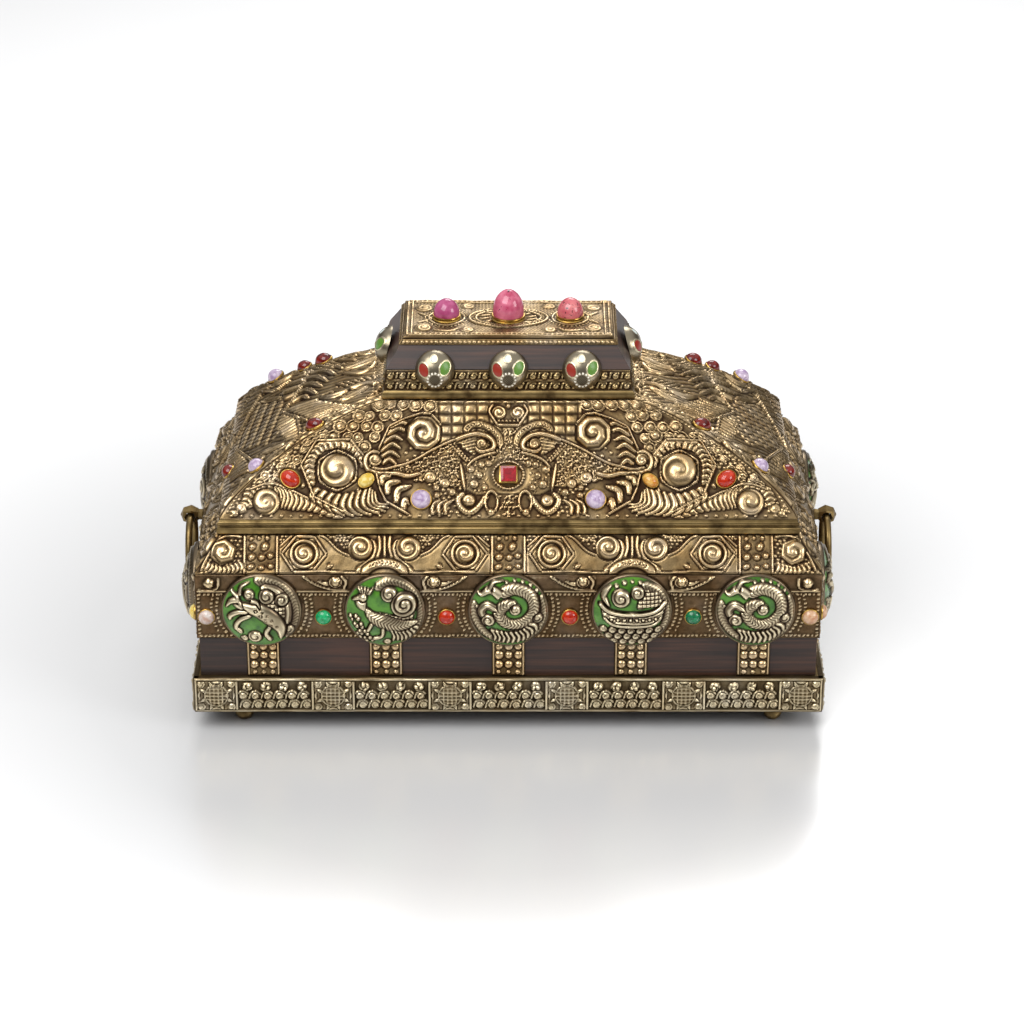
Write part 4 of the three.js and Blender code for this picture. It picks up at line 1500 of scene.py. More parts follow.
    def work_end(self, r: Relief, n: int) -> None:
        """Lays an end's breast of bricks, its long feathers and almond leaves, and the straight lines over them.

        Args:
            r: the relief.
            n: 1 or -1, which way the near edge is.
        """
        at = partial(sided, n)
        r.h[:] = 0.3 + 1.3 * waves(4.6, 90 - 24 * n, 1.2)(r.x, r.y)
        r.patch(
            at((0, 51), (-24, 46), (-38, 40), (-38, 26), (-26, 13), (-5, 7), (10, 10), (38, 40), (28, 48)),
            cushions(8.4, 5.2, 62 * n, 0.2, 0.55), 1.9, base=0.5,
        )
        r.sheaf(
            [
                at((-46, 8), (-60, 12), (-74, 20), (-78, 36), (-68, 50)),
                at((-36, 24), (-50, 30), (-60, 40), (-64, 54), (-58, 66)),
            ],
            11, 2.5, 2.4, 1.0,
        )
        r.sheaf([at((-66, 2), (-78, 8), (-88, 22)), at((-56, 10), (-70, 18), (-80, 34))], 7, 2.4, 2.0, 1.0)
        starts = at((-6.9, 51), (-19.5, 48.5), (-32, 47), (-41, 50), (-45, 54), (-47.3, 59))
        peaks = at((-8, 62), (-17, 64), (-24, 66.5), (-31, 70), (-35, 75.5), (-38, 81))
        r.sheaf(
            [starts, peaks, at((0, 67.8), (-1.4, 73.6), (-8.9, 77), (-15.2, 80.3), (-19.7, 86.1), (-25.2, 91))], 6,
            2.8, 3.0, 1.0,
        )
        r.sheaf(
            [
                at((-52, 64), (-50, 74), (-46, 84)), at((-42, 74), (-40, 84), (-38, 92)),
                at((-33, 84), (-32, 92), (-31, 100)),
            ],
            5, 2.6, 2.4, 1.0,
        )
        r.sheaf(
            [
                at((1, 52), (12, 58.5), (23, 64.5), (33, 70), (40, 79)),
                at((8, 75), (20, 83), (30, 91), (38, 99), (43, 102)),
            ],
            10, 1.9, 2.2,
        )
        r.sheaf([at((5, 45), (28, 47.6), (48, 54)), at((8, 52), (27, 61.5), (50, 65))], 10, 1.9, 2.1)
        r.sheaf([at((9, 3), (30, 5), (52, 9)), at((13, 11), (32, 20), (59, 27))], 10, 2.2, 2.1)
        r.curls(
            n,
            (
                (52, 36, 3.2), (58, 47, 3.0), (70, 45, 2.6), (66, 20, 3.2), (75, 12, 3.4), (62, 12, 2.6),
                (73, 28, 2.6), (46, 31, 2.4), (41, 88, 2.4), (52, 86, 2.6), (6, 84, 2.6), (2, 92, 3.0),
            ),
            2.2, 1.2,
        )
        for leaf, width in (
            (((47, 34), (49, 44), (52, 54)), 4.6), (
                ((-59, 33), (-55, 43), (-55.4, 53)), 5.0,
            ), (((4, 75), (12, 85), (13.2, 96)), 5.4),
            (((27, 92), (22.6, 100.5), (18.5, 110)), 5.2), (
                ((-22, 91), (-23.4, 104.6), (-27, 119)), 6.0,
            ), (((-42, 97), (-38, 107), (-37, 117)), 4.4),
            (((-4, 2), (-16, 4.5), (-27, 3)), 3.4), (((72, 2), (78, 6), (83, 3)), 3.0), (
                ((-43, 27), (-34, 38), (-27, 46)), 4.6,
            ),
        ):
            r.almond(at(*leaf), width)
        r.band(at((12.6, 98), (11.5, 107), (17, 115.6), (26, 118.4), (36, 112)), 2.5, 2.8)
        r.band(at((-17, 92), (-9, 102), (-10, 110), (-17.5, 114)), 2.1, 2.6)
        r.sheaf([at((-4, 88), (0, 100), (3, 112)), at((6, 96), (6, 106), (8, 116))], 6, 1.7, 2.0)
        r.string(at((-46, 118.6), (0, 119), (38, 118.6)), 2.8, 0.9, 1.6)
        r.string(at((-46, 115.6), (0, 115.8), (38, 115.6)), 2.8, 0.9, 1.6)
        for line in (
            ((0, 48), (35, 69)), (
                (-1.6, 51), (-26.7, 61.4), (-43.2, 66), (-59.8, 57.8),
            ), ((22.8, 61.1), (54, 65.4), (62.5, 53.5), (67, 43.8)),
            (
                (-6, 7), (-24.3, 14.3), (-57, 27.7), (-43.5, 39.5), (-46.2, 52.3),
            ), ((4.2, 9.4), (43.3, 26), (55, 31)), ((67, 43.8), (84, 6)),
        ):
            r.seam(at(*line), 0.85, 3.2)
        face = self.face(Side.LEFT)
        levels = np.linspace(3, 119, 14)
        for s in (1, -1):
            for inward, pitch in ((3.2, 2.7), (6.2, 0)):
                line = [(s * (float(face.half(y)) - inward), y) for y in levels]
                r.string(line, pitch, 0.9, 1.7) if pitch else r.seam(line, 0.6, 2.0)
        r.beads([(x, 2.2) for x in np.arange(-86, 87, 5.4)], 1.05, 1.4)

    def set_square_stone(self, face: Face) -> None:
        """Sets the faceted square stone in the bird's breast.

        Args:
            face: the front of the roof.
        """
        for name, half, low, high, top, material in (
            ("breast_stone", 4.888, 0.6, 4.9, 3.64, self.finishes.stones["ruby"]),
            ("breast_collet", 5.616, -0.6, 3.2, 5.408, self.finishes.collet),
        ):
            deselect()
            bpy.ops.mesh.primitive_cube_add(size=2)
            piece = bpy.context.object
            bpy.ops.object.mode_set(mode="EDIT")
            bpy.ops.mesh.bevel(offset=0.1, offset_type="OFFSET", segments=2, affect="EDGES")
            bpy.ops.object.mode_set(mode="OBJECT")
            p = points_of(piece)
            size = np.where(p[:, 2] > 0.95, top, half)
            height = low + (high - low) * (p[:, 2] + 1) / 2
            move_points(piece, face.place(p[:, 0] * size, OVAL_LEVEL + p[:, 1] * size, height))
            dress(piece, name, material, "gilt_metal", smooth=False)


@dataclass(frozen=True)
class SlopedFace(Face):
    """A long side of the roof, narrowed upwards by the rounded ends."""

    def half(self, y: Array) -> Array:
        """Half the face's width at heights up it."""
        share = np.clip(np.asarray(y) / self.length, 0, 1)
        bulge = (1 - share**SIZES.roundness) ** (1 / SIZES.roundness)
        return self.half_top + (self.half_foot - self.half_top) * bulge - 0.3


@dataclass
class Shoulder:
    """The embossed sheet round the sloping shoulder of the box."""

    finishes: Finishes
    step: float = 0.66
    step_back: float = 1.0

    def face(self, side: Side) -> Face:
        """The face of one side of the shoulder."""
        run, rise = SIZES.skin[0] - SIZES.cove[0], SIZES.cove_top - SIZES.body_top
        low, high = (SIZES.skin, SIZES.cove)
        along, out = side.axes
        return Face(
            side, low[out], SIZES.body_top, math.atan2(rise, run), math.hypot(run, rise) - 0.4, low[along],
            high[along],
        )

    def build(self) -> None:
        """Works the four sheets."""
        for side in Side:
            step = self.step if side is Side.FRONT else self.step_back
            work = self.work_long if side.long else self.work_short
            sheet = EmbossedSheet(f"shoulder_relief_{side.word}", self.face(side), step, work, ["cove_sheet"])
            sheet.build(self.finishes.gilt)

    def work_long(self, r: Relief) -> None:
        """Lays a long side: corner scrolls, straps of pebbles, and facing pairs of scrolls between them."""
        pitch = SIZES.medallion_pitch
        for middle in (-pitch, pitch):
            self.lay_pair(r, middle)
        for x in (-2 * pitch, 0, 2 * pitch):
            self.lay_strap(r, x)
        for s in (1, -1):
            self.lay_corner(r, s, 179)

    def work_short(self, r: Relief) -> None:
        """Lays a short side."""
        self.lay_pair(r, 0)
        for s in (1, -1):
            self.lay_strap(r, s * 68)
            self.lay_corner(r, s, 89)

    @staticmethod
    def lay_strap(r: Relief, x: float) -> None:
        """Lays an upright strap of uneven pebbles.

        Args:
            r: the relief.
            x: the strap's middle.
        """
        r.patch([(x - 11, 0), (x + 11, 0), (x + 11, 26), (x - 11, 26)], even(0.6), 1.0)
        for dx, dy, size, long_ in [
            (-6.2, 5, 2.1, 1.3), (0.4, 4.4, 1.9, 1.2), (6.2, 5.4, 2.0, 1.1), (
                -5.8, 11.2, 2.3, 1.2,
            ), (0.6, 11, 2.2, 1.1),
            (6.0, 12, 2.1, 1.1), (-5.4, 17.6, 2.3, 1.2), (2.6, 17.8, 2.4, 1.3), (-6, 23, 1.5, 1.2), (
                -1.2, 23.4, 1.4, 1.0,
            ), (4.0, 23.4, 1.6, 1.2),
        ]:
            r.bead(x + dx, dy, size, 2.6, long_, 25 * dx)
        for s in (1, -1):
            r.band([(x + s * 10.2, 0.5), (x + s * 10.2, 25.5)], 0.8, 2.2)

    @staticmethod
    def lay_corner(r: Relief, s: int, x: float) -> None:
        """Lays the scroll at a corner.

        Args:
            r: the relief.
            s: 1 or -1, which corner.
            x: how far the scroll is from the middle.
        """
        r.strew([(s * (x - 12), 0), (s * (x + 16), 0), (s * (x + 2), 26), (s * (x - 12), 26)], 2.9, 1.1, 1.1)
        r.fringe(
            [(s * (x - 10), 8), (s * x, 5), (s * (x + 9), 8)], [(s * (x - 11), 2), (s * x, 0.8), (s * (x + 13), 3)],
            9, 0.2, 1.8,
        )
        r.band(
            [(s * (x - 12), 24), (s * (x - 3), 25), (s * (x + 5), 20), (s * (x + 10), 11), (s * (x + 14), 2)], 1.0,
            2.3,
        )
        r.scroll(s * x, 14.4, 8.6, 1.2, s, 20, 3.2, 6, swell=0.5)

    @staticmethod
    def lay_pair(r: Relief, middle: float) -> None:
        """Lays a facing pair of scrolls with smooth bands that meet over a beaded arch.

        Args:
            r: the relief.
            middle: where the two face each other.
        """
        for s in (1, -1):
            at = partial(sided, s, middle=middle)
            r.strew(at((66, 26), (66, 17), (57, 26)), 2.4, 1.0, 1.2)
            r.patch(
                at((66, 18), (58, 26), (38, 26), (24, 12.5), (12, 10), (10, 0), (66, 0)), lambda x,
                y: 0.7 + 0.7 * np.sin(y / 26 * math.pi), 1.0,
            )
            r.strew(at((37, 26), (13, 26), (22, 14)), 2.4, 1.0, 1.5)
            r.band(at((66, 17.5), (57, 26)), 0.8, 2.4)
            r.band(at((41, 25.6), (36, 22.5), (29, 15.5), (22, 12)), 0.8, 2.7)
            diamond = at((64.5, 13.2), (57, 2), (45, 2.2), (36.5, 12.8), (44, 24), (55.5, 24.4))
            r.patch(diamond, even(1.5), 1.0)
            r.seam([*diamond, diamond[0]], 0.9, 2.9, 48)
            r.ring(middle + s * 50.5, 13.2, 8.2, 1.3, 2.3)
            r.scroll(middle + s * 50.5, 13.2, 6.4, 1.2, -s, 0, 3.6, swell=0.62)
            r.band(at((36.5, 4.2), (32.6, 6.2)), 1.8, 2.4, Taper.LEAF)
            r.band(at((57, 1.8), (36, 2.0), (24, 1.2), (12, 0.8)), 0.7, 2.2)
            r.band(at((9.6, 22.5), (6.6, 17), (8, 9), (18, 1.4)), 2.4, 2.8)
            r.scroll(middle + s * 15, 17, 8.0, 1.3, s, 60, 3.3, swell=0.5)
            r.band(at((3.6, 25.4), (3.0, 17), (5.4, 8.5)), 1.2, 2.2)
        r.band([(middle, 25.4), (middle, 11)], 0.9, 1.8)
        arch = arc(middle, -7.4, 16, 15, (0.5, math.pi - 0.5), 9)
        r.band(arch, 3.2, 2.3)
        r.string(arch[2:-2], 2.3, 0.85, 2.9)


@dataclass
class Wall:
    """The smooth dark sheet round the wall with its frieze, frames and stones."""

    finishes: Finishes
    step: float = 0.8
    step_back: float = 1.15
    length: float = 44.8

    def face(self, side: Side) -> Face:
        """The face of one side of the wall."""
        along, out = side.axes
        half = SIZES.skin[along]
        return Face(side, SIZES.skin[out], SIZES.wood_top, math.pi / 2, self.length, half, half)

    def build(self) -> None:
        """Works the four sheets and sets the wall's stones."""
        for side in Side:
            step = self.step if side is Side.FRONT else self.step_back
            sheet = EmbossedSheet(
                f"wall_relief_{side.word}", self.face(side), step, partial(
                    self.work, side=side,
                ), ["wall_band"], "dark_gilt_metal"
            )
            sheet.build(self.finishes.wall)
        setter = Cabochon(self.finishes)
        level = SIZES.stone_level - SIZES.wood_top
        order = ["pale_opal", "chrysoprase", "coral_carnelian", "coral_carnelian", "dark_chrysoprase", "peach_opal"]
        pitch, end = SIZES.medallion_pitch, SIZES.skin[0] - 6.6
        places = [-end, -1.5 * pitch, -0.5 * pitch, 0.5 * pitch, 1.5 * pitch, end]
        for i, (x, stone) in enumerate(zip(places, order)):
            setter.set_in(self.face(Side.FRONT), Setting(f"wall_front_{i + 1}", x, level, stone), "dark_gilt_metal")
        for side, x in ((Side.BACK, end), (Side.RIGHT, SIZES.skin[1] - 6.6), (Side.LEFT, SIZES.skin[1] - 6.6)):
            for s, tag in ((-1, "a"), (1, "b")):
                stone = "peach_opal" if side is Side.RIGHT else "yellow_chalcedony"
                setter.set_in(
                    self.face(side), Setting(f"wall_{side.word}_{tag}", s * x, level, stone), "dark_gilt_metal",
                )

    def work(self, r: Relief, side: Side) -> None:
        """Lays the frieze and the beaded frames of one side.

        Args:
            r: the relief.
            side: which side it is.
        """
        half = SIZES.skin[0 if side.long else 1]
        places = SIZES.medallions(side)
        level = SIZES.medallion_level - SIZES.wood_top
        low, high = 2.2, 31.6
        pairs = places[1::2] if side.long else [0.0]
        for middle in pairs:
            for s in (1, -1):
                self.lay_tip(r, middle, s, 30.8)
        for s in (1, -1):
            r.bead(s * (half - 9), 39, 3.6, 2.6)
            r.scroll(s * (half - 9), 39, 3.2, 1.1, s, 0, 3.0, swell=0.8)
            r.band(
                [(s * (half - 2), 35), (s * (half - 7), 33.8), (s * (half - 14), 36), (s * (half - 15), 43)], 0.7,
                1.6,
            )
        r.band([(-half + 1, 33.4), (half - 1, 33.4)], 0.6, 1.3)
        for y in (high, low):
            r.beads([(x, y) for x in np.arange(-half + 3, half - 2, 2.7)], 0.85, 1.4)
        for x in places:
            for s in (1, -1):
                for out, first, last in ((28.3, -0.62, 0.36), (31.8, -0.5, 0.3)):
                    r.string(arc(x, level, s * out, out, (first, last), 9), 2.7, 0.75 if out > 30 else 0.9, 1.3)
        for s in (1, -1):
            r.string([(s * (half - 1.9), 4), (s * (half - 1.9), 31)], 2.7, 0.8, 1.1)

    @staticmethod
    def lay_tip(r: Relief, middle: float, s: int, reach: float) -> None:
        """Lays the pointed tip and the boss that hang from the shoulder beside a medallion.

        Args:
            r: the relief.
            middle: the middle of the pair.
            s: 1 or -1, which side of it.
            reach: how far the boss is from the middle.
        """
        eye = sided(
            s, (reach - 8, 46), (reach - 7, 37), (reach + 3, 34.4), (reach + 18, 40), (reach + 20, 46), middle=middle,
        )
        r.patch(eye, even(0.5), 1.0)
        r.band(
            sided(s, (reach + 21, 44.6), (reach + 12, 38.4), (reach + 2, 35), (reach - 7, 34.6), middle=middle), 0.7,
            1.8,
        )
        r.band(sided(s, (reach - 3, 44.5), (reach - 6.6, 40.5), (reach - 5, 35.4), middle=middle), 0.9, 1.8)
        r.band(sided(s, (reach, 40.5), (reach + 6, 39), (reach + 11, 41), middle=middle), 2.4, 1.7, Taper.TAIL)
        r.bead(middle + s * reach, 40.2, 3.9, 3.0, 1.1)
        r.scroll(middle + s * reach, 40.2, 3.0, 1.0, s, 0, 3.3, swell=0.85)


@dataclass
class Plinth:
    """The embossed strip round the foot: squares with a gridded rosette, runs of bosses and small scrolls."""

    finishes: Finishes
    step: float = 0.62
    step_back: float = 0.85
    square: float = 28.0

    def face(self, side: Side) -> Face:
        """The face of one side of the plinth."""
        along, out = side.axes
        half = SIZES.plinth[along]
        height = SIZES.plinth_top - SIZES.plinth_foot
        return Face(side, SIZES.plinth[out], SIZES.plinth_foot, math.pi / 2, height, half, half)

    def build(self) -> None:
        """Works the four sheets and lays the ledge over them."""
        for side in Side:
            step = self.step if side is Side.FRONT else self.step_back
            sheet = EmbossedSheet(
                f"plinth_relief_{side.word}", self.face(side), step, partial(
                    self.work, side=side,
                ), ["plinth_band"], edge=3.0
            )
            sheet.build(self.finishes.worn)
        ledge = Moulding(
            "plinth_ledge", SIZES.plinth, [(-0.7, 37.4), (0.0, 38.0), (-0.5, 38.55), (-1.2, 38.59), (-4.3, 38.5)],
        )
        ledge.build(self.finishes.plain, "gilt_metal", ["plinth_band"])
        under = Moulding("plinth_under", SIZES.plinth, [(-4.3, 14.0), (-0.9, 14.0), (-0.1, 14.2), (-0.6, 15.2)])
        under.build(self.finishes.plain, "gilt_metal", ["plinth_band"])

    def work(self, r: Relief, side: Side) -> None:
        """Lays the squares and the runs of one side.

        Args:
            r: the relief.
            side: which side it is.
        """
        half = SIZES.plinth[0 if side.long else 1]
        height = SIZES.plinth_top - SIZES.plinth_foot
        count = 6 if side.long else 4
        pitch = (2 * half - self.square) / (count - 1)
        for i in range(count):
            x = -half + self.square / 2 + i * pitch
            if i < count - 1:
                self.lay_run(r, x + self.square / 2, pitch - self.square, height)
            self.lay_square(r, x, height)
        for y in (1.0, height - 1.0):
            r.band([(-half + 1, y), (half - 1, y)], 0.8, 1.0)

    def lay_square(self, r: Relief, x: float, height: float) -> None:
        """Lays a framed square with a gridded rosette.

        Args:
            r: the relief.
            x: its middle.
            height: the strip's height.
        """
        h = self.square / 2
        r.patch([(x - h, 0), (x + h, 0), (x + h, height), (x - h, height)], even(0.75), 1.0)
        for s in (1, -1):
            r.band([(x + s * (h - 0.9), 1), (x + s * (h - 0.9), height - 1)], 0.8, 1.6)
            for y, hand in ((4.0, s), (height - 4.0, -s)):
                r.scroll(x + s * (h - 4.4), y, 2.9, 1.2, hand, 45, 2.0, swell=0.5)
            r.band(
                [(x + s * 10.4, height / 2 - 3), (x + s * 11.2, height / 2), (x + s * 10.4, height / 2 + 3)], 0.9,
                1.4, Taper.LEAF,
            )
            r.band(
                [(x - 3.4, height / 2 + s * 9.9), (x, height / 2 + s * 9.2), (x + 3.4, height / 2 + s * 9.9)], 0.8,
                1.4, Taper.LEAF,
            )
        middle = height / 2
        for a in np.radians(np.arange(22.5, 360, 45)):
            c, d = math.cos(a), math.sin(a)
            r.band([(x + 7.6 * c, middle + 7.6 * d), (x + 11.0 * c, middle + 11.0 * d)], 1.5, 1.9, Taper.TAIL)
        where = r.window(x, middle, 7.6)
        if where is not None:
            far = np.hypot(r.x[where] - x, r.y[where] - middle)
            net = 1 - cushions(2.6, 2.6)(r.x[where] - x, r.y[where] - middle)
            dome = 0.9 + 1.5 * np.sqrt(np.clip(1 - far**2 / 58, 0, 1))
            r.lay(where, dome * (0.62 + 0.5 * net), np.clip((7.0 - far) / 0.5, 0, 1))
        r.ring(x, middle, 7.3, 0.55, 1.9)

    @staticmethod
    def lay_run(r: Relief, start: float, length: float, height: float) -> None:
        """Lays a run: four bosses over two rows of small scrolls.

        Args:
            r: the relief.
            start: where it starts.
            length: how long it is.
            height: the strip's height.
        """
        for k in range(4):
            x = start + length * (k + 0.5) / 4
            r.bead(x, height - 6.0, 3.0, 2.0, 1.2, 35 * k)
            for turn in r.chance.uniform(0, 6.28, 3):
                r.bead(x + 1.5 * math.cos(turn), height - 6.0 + 1.3 * math.sin(turn), 1.5, 2.7, 1.3, 57 * turn)
        count = round(length / 7.6)
        for row, y in enumerate((height - 12.4, height - 18.8)):
            for k in range(count):
                x = start + length * (k + 0.5) / count + (1.2 if row else -0.6)
                r.band([(x - 4.2, y - 2.2), (x - 2.8, y + 2.0), (x + 0.6, y + 3.2), (x + 3.2, y + 1)], 0.6, 1.7)
                r.scroll(x, y, 2.8, 1.3, -1, 200, 2.2, swell=0.45)


@dataclass
class Moulding:
    """A smooth moulding run round a rectangle from a profile of (offset outwards, level)."""

    name: str
    half: Point
    profile: Line

    def build(self, material: Material, slot: str, nodes: Sequence[str] = ()) -> Piece:
        """Extrudes the rectangle along the profile, loop by loop.

        Args:
            material: its finish.
            slot: the record's material slot.
            nodes: the solids it stands for.

        Returns:
            The moulding.
        """
        deselect()
        bpy.ops.mesh.primitive_plane_add(size=2)
        piece = bpy.context.object
        offset, z = self.profile[0]
        for vertex in piece.data.vertices:
            vertex.co = (
                math.copysign((self.half[0] + offset) * MM, vertex.co.x),
                math.copysign((self.half[1] + offset) * MM, vertex.co.y),
                z * MM,
            )
        bpy.ops.object.mode_set(mode="EDIT")
        bpy.ops.mesh.select_all(action="SELECT")
        bpy.ops.mesh.delete(type="ONLY_FACE")
        bpy.ops.mesh.select_all(action="SELECT")
        for (o0, z0), (o1, z1) in zip(self.profile, self.profile[1:]):
            bpy.ops.mesh.extrude_region_move(TRANSFORM_OT_translate={"value": (0, 0, (z1 - z0) * MM)})
            grow = ((self.half[0] + o1) / (self.half[0] + o0), (self.half[1] + o1) / (self.half[1] + o0), 1)
            bpy.ops.transform.resize(value=grow, center_override=(0, 0, z1 * MM))
        bpy.ops.mesh.select_all(action="SELECT")
        bpy.ops.mesh.normals_make_consistent(inside=False)
        bpy.ops.object.mode_set(mode="OBJECT")
        log.info("%s: %d points", self.name, len(piece.data.vertices))
        dress(piece, self.name, material, slot, nodes)
        piece.select_set(True)
        bpy.ops.object.shade_smooth_by_angle(angle=math.radians(50))
        return piece


@dataclass
class Straps:
    """The straps of bosses over the bare wood under each medallion."""

    finishes: Finishes
    width: float = 21.0
    step: float = 0.62
    step_back: float = 1.2

    def build(self) -> None:
        """Works a strap under each medallion."""
        length = SIZES.wood_top - SIZES.plinth_top - 0.6
        for side in Side:
            out = side.axes[1]
            for i, x in enumerate(SIZES.medallions(side)):
                face = ShiftedFace(
                    side, SIZES.skin[out], SIZES.plinth_top + 0.3, math.pi / 2, length, self.width / 2,
                    self.width / 2, x,
                )
                step = self.step_back if side is Side.BACK else self.step
                name = f"strap_{side.word}_{i + 1}"
                sheet = EmbossedSheet(
                    name.replace("strap", "strap_relief"), face, step, self.work, [name], seed=i + 1,
                )
                sheet.build(self.finishes.gilt)

    @staticmethod
    def work(r: Relief) -> None:
        """Lays three columns of bosses and the raised edges."""
        r.h[:] = 0.4
        for y, size, height in (
            (2.8, 1.7, 1.5), (8.2, 2.9, 2.3), (15.0, 3.0, 2.3), (21.0, 2.5, 1.8), (25.4, 1.4, 1.2),
        ):
            for x in (-6.1, 0.0, 6.1):
                size_, lean = size * r.chance.uniform(0.88, 1.1), r.chance.uniform(-0.4, 0.4)
                r.bead(x + lean, y, size_, height, r.chance.uniform(0.9, 1.08), r.chance.uniform(0, 180))
        for s in (1, -1):
            r.band(sided(s, (9.7, 0.6), (9.7, 26.2)), 0.8, 1.6)


@dataclass(frozen=True)
class ShiftedFace(Face):
    """A flat face whose middle is shifted along its side."""

    shift: float = 0.0

    def place(self, x: Array, y: Array, h: Array) -> Array:
        """Places on the face in the casket's frame."""
        return super().place(x + self.shift, y, h)


@dataclass
class Medallions:
    """The domed medallions of green enamel with a silver-gilt figure."""

    finishes: Finishes
    radius: float = 25.6
    rise: float = 8.4
    rim: float = 1.8
    rings: int = 52
    spokes: int = 222
    field_half: float = 26.0
    field_step: float = 0.5

    def build(self) -> None:
        """Makes each medallion."""
        order = [Figure.BEAST, Figure.BIRD, Figure.DRAGON, Figure.SHIP, Figure.DRAGON]
        for side in Side:
            figures = order if side.long else [Figure.BIRD, Figure.BEAST]
            for i, (x, figure) in enumerate(zip(SIZES.medallions(side), figures)):
                fine = 1.0 if side is Side.FRONT else 0.62
                self.make(side, i, x, figure, fine)

    def make(self, side: Side, i: int, x: float, figure: Figure, fine: float) -> None:
        """Makes one medallion.

        Args:
            side: the side it is on.
            i: its number along the side.
            x: its middle along the side.
            figure: what it shows.
            fine: how fine its mesh is, up to 1.
        """
        rows, columns = round(self.rings * fine), round(self.spokes * fine)
        piece, across, up = grid_piece(columns + 1, rows)
        share = np.linspace(0, 1, rows - 1) ** 0.85
        angle = np.linspace(0, 2 * math.pi, columns + 1)
        line = np.arange(-self.field_half, self.field_half + 0.01, self.field_step)
        r = Relief(*np.meshgrid(line, line), i + 3)
        self.lay_figure(r, figure)
        metal = np.clip(blur(r.h, 1) / 0.25, 0, 1)
        # Rubbing, with painted shade on the figure's undersides and painted light on its upper sides.
        wear = r.wear(self.field_step)
        j = np.clip(up, 0, rows - 2)
        radial = share[j] * self.radius
        px, py = radial * np.cos(angle[across]), radial * np.sin(angle[across])
        height = self.sample(r.h, px, py)
        edge = np.clip((self.radius - radial) / 1.6, 0, 1)
        dome = self.rim + (self.rise - self.rim) * (1 - (radial / self.radius) ** 2) ** 0.8
        out = dome + np.where(edge < 1, 0.5 * np.sin(edge * math.pi), height * edge)
        out = np.where(up == rows - 1, 0.0, out)
        face = Face(side, SIZES.skin[1 if side.long else 0] + AIR, SIZES.medallion_level, math.pi / 2, 1, 1, 1)
        move_points(piece, face.place(px + x, py, out))
        rim = (radial > self.radius - 1.5) | (up == rows - 1)
        give(piece, "wear", np.where(rim, 0.55, self.sample(wear, px, py)))
        give(piece, "metal", np.where(rim, 1.0, self.sample(metal, px, py)))
        close_up()
        name = f"medallion_{side.word}_{i + 1}"
        dress(piece, name.replace("medallion", "medallion_relief"), self.finishes.enamel, "green_enamel", [name])
        log.info("%s: %s", name, figure.value)

    def sample(self, field_: Array, px: Array, py: Array) -> Array:
        """Reads a square field at places, between its points.

        Args:
            field_: the field over a medallion.
            px: places across.
            py: places up.

        Returns:
            The values there.
        """
        last = len(field_) - 1.001
        u, v = (np.clip((p + self.field_half) / self.field_step, 0, last) for p in (px, py))
        i, j = u.astype(int), v.astype(int)
        fu, fv = u - i, v - j
        low = field_[j, i] * (1 - fu) + field_[j, i + 1] * fu
        high = field_[j + 1, i] * (1 - fu) + field_[j + 1, i + 1] * fu
        return low * (1 - fv) + high * fv

    def lay_figure(self, r: Relief, figure: Figure) -> None:
        """Lays a medallion's figure. It is drawn as seen from the front."""
        {
            Figure.BEAST: self.lay_beast,
            Figure.BIRD: self.lay_bird,
            Figure.DRAGON: self.lay_dragon,
            Figure.SHIP: self.lay_ship,
        }[figure](r)

    @staticmethod
    def lay_beast(r: Relief) -> None:
        """Lays a bounding beast before a tree of scrolls."""
        r.band([(-4, 22.5), (8, 21), (17, 14), (22, 4), (22, -8), (15, -18)], 3.4, 1.6, ribs=2.2)
        r.band([(0, 18), (9, 16.5), (15, 10), (17, 2), (16, -8)], 2.6, 2.0, strands=1)
        r.patch([(0, 6), (10, 12), (15, 4), (14, -8), (8, -4)], cushions(2.5, 2.5), 1.4, base=0.8)
        r.scroll(4, 12.5, 5.0, 1.2, 1, 0, 2.4)
        r.scroll(13.4, 9.4, 4.6, 1.2, -1, 0, 2.3)
        r.scroll(17.4, -12, 3.8, 1.1, 1, 0, 2.1)
        r.band([(-13, 8), (-6, 4.4), (1, 2), (8, -4), (12.4, -11), (12, -19)], 5.6, 3.0, Taper.LEAF)
        r.band([(-11, 4), (-15, 8), (-14.4, 13)], 3.0, 2.6, Taper.LEAF)
        r.band([(-14.6, 9.6), (-19, 8), (-22, 4)], 2.4, 2.3, Taper.TAIL)
        r.band([(-15, 12), (-18.5, 15.4), (-18, 19)], 1.3, 2.0, Taper.TAIL)
        r.band([(-13, 13), (-12, 18), (-7, 21)], 1.3, 2.0, Taper.TAIL)
        r.scroll(-7.4, 13.4, 3.6, 1.1, 1, 90, 2.3)
        r.band([(-6, 9.6), (-2, 8.4), (0, 4)], 1.5, 2.2, Taper.TAIL)
        r.band([(-8, 2), (-14, 1.4), (-19, -1.6), (-20, -5)], 1.7, 2.3)
        r.band([(-6, 0), (-13, -4), (-16, -10), (-12, -14)], 1.7, 2.3)
        r.band([(6, -8), (3, -14), (6, -20)], 1.7, 2.3)
        r.scroll(-4, -16.4, 4.6, 1.2, 1, 0, 2.4)
        r.scroll(-11, -18.6, 2.6, 1.0, -1, 0, 2.0)
        r.beads([(-3, 3.4), (1, 2.6), (0, -0.2), (4, 0), (3, -3.2), (7, -3.4), (6.4, -7), (10, -8)], 0.85, 3.6)

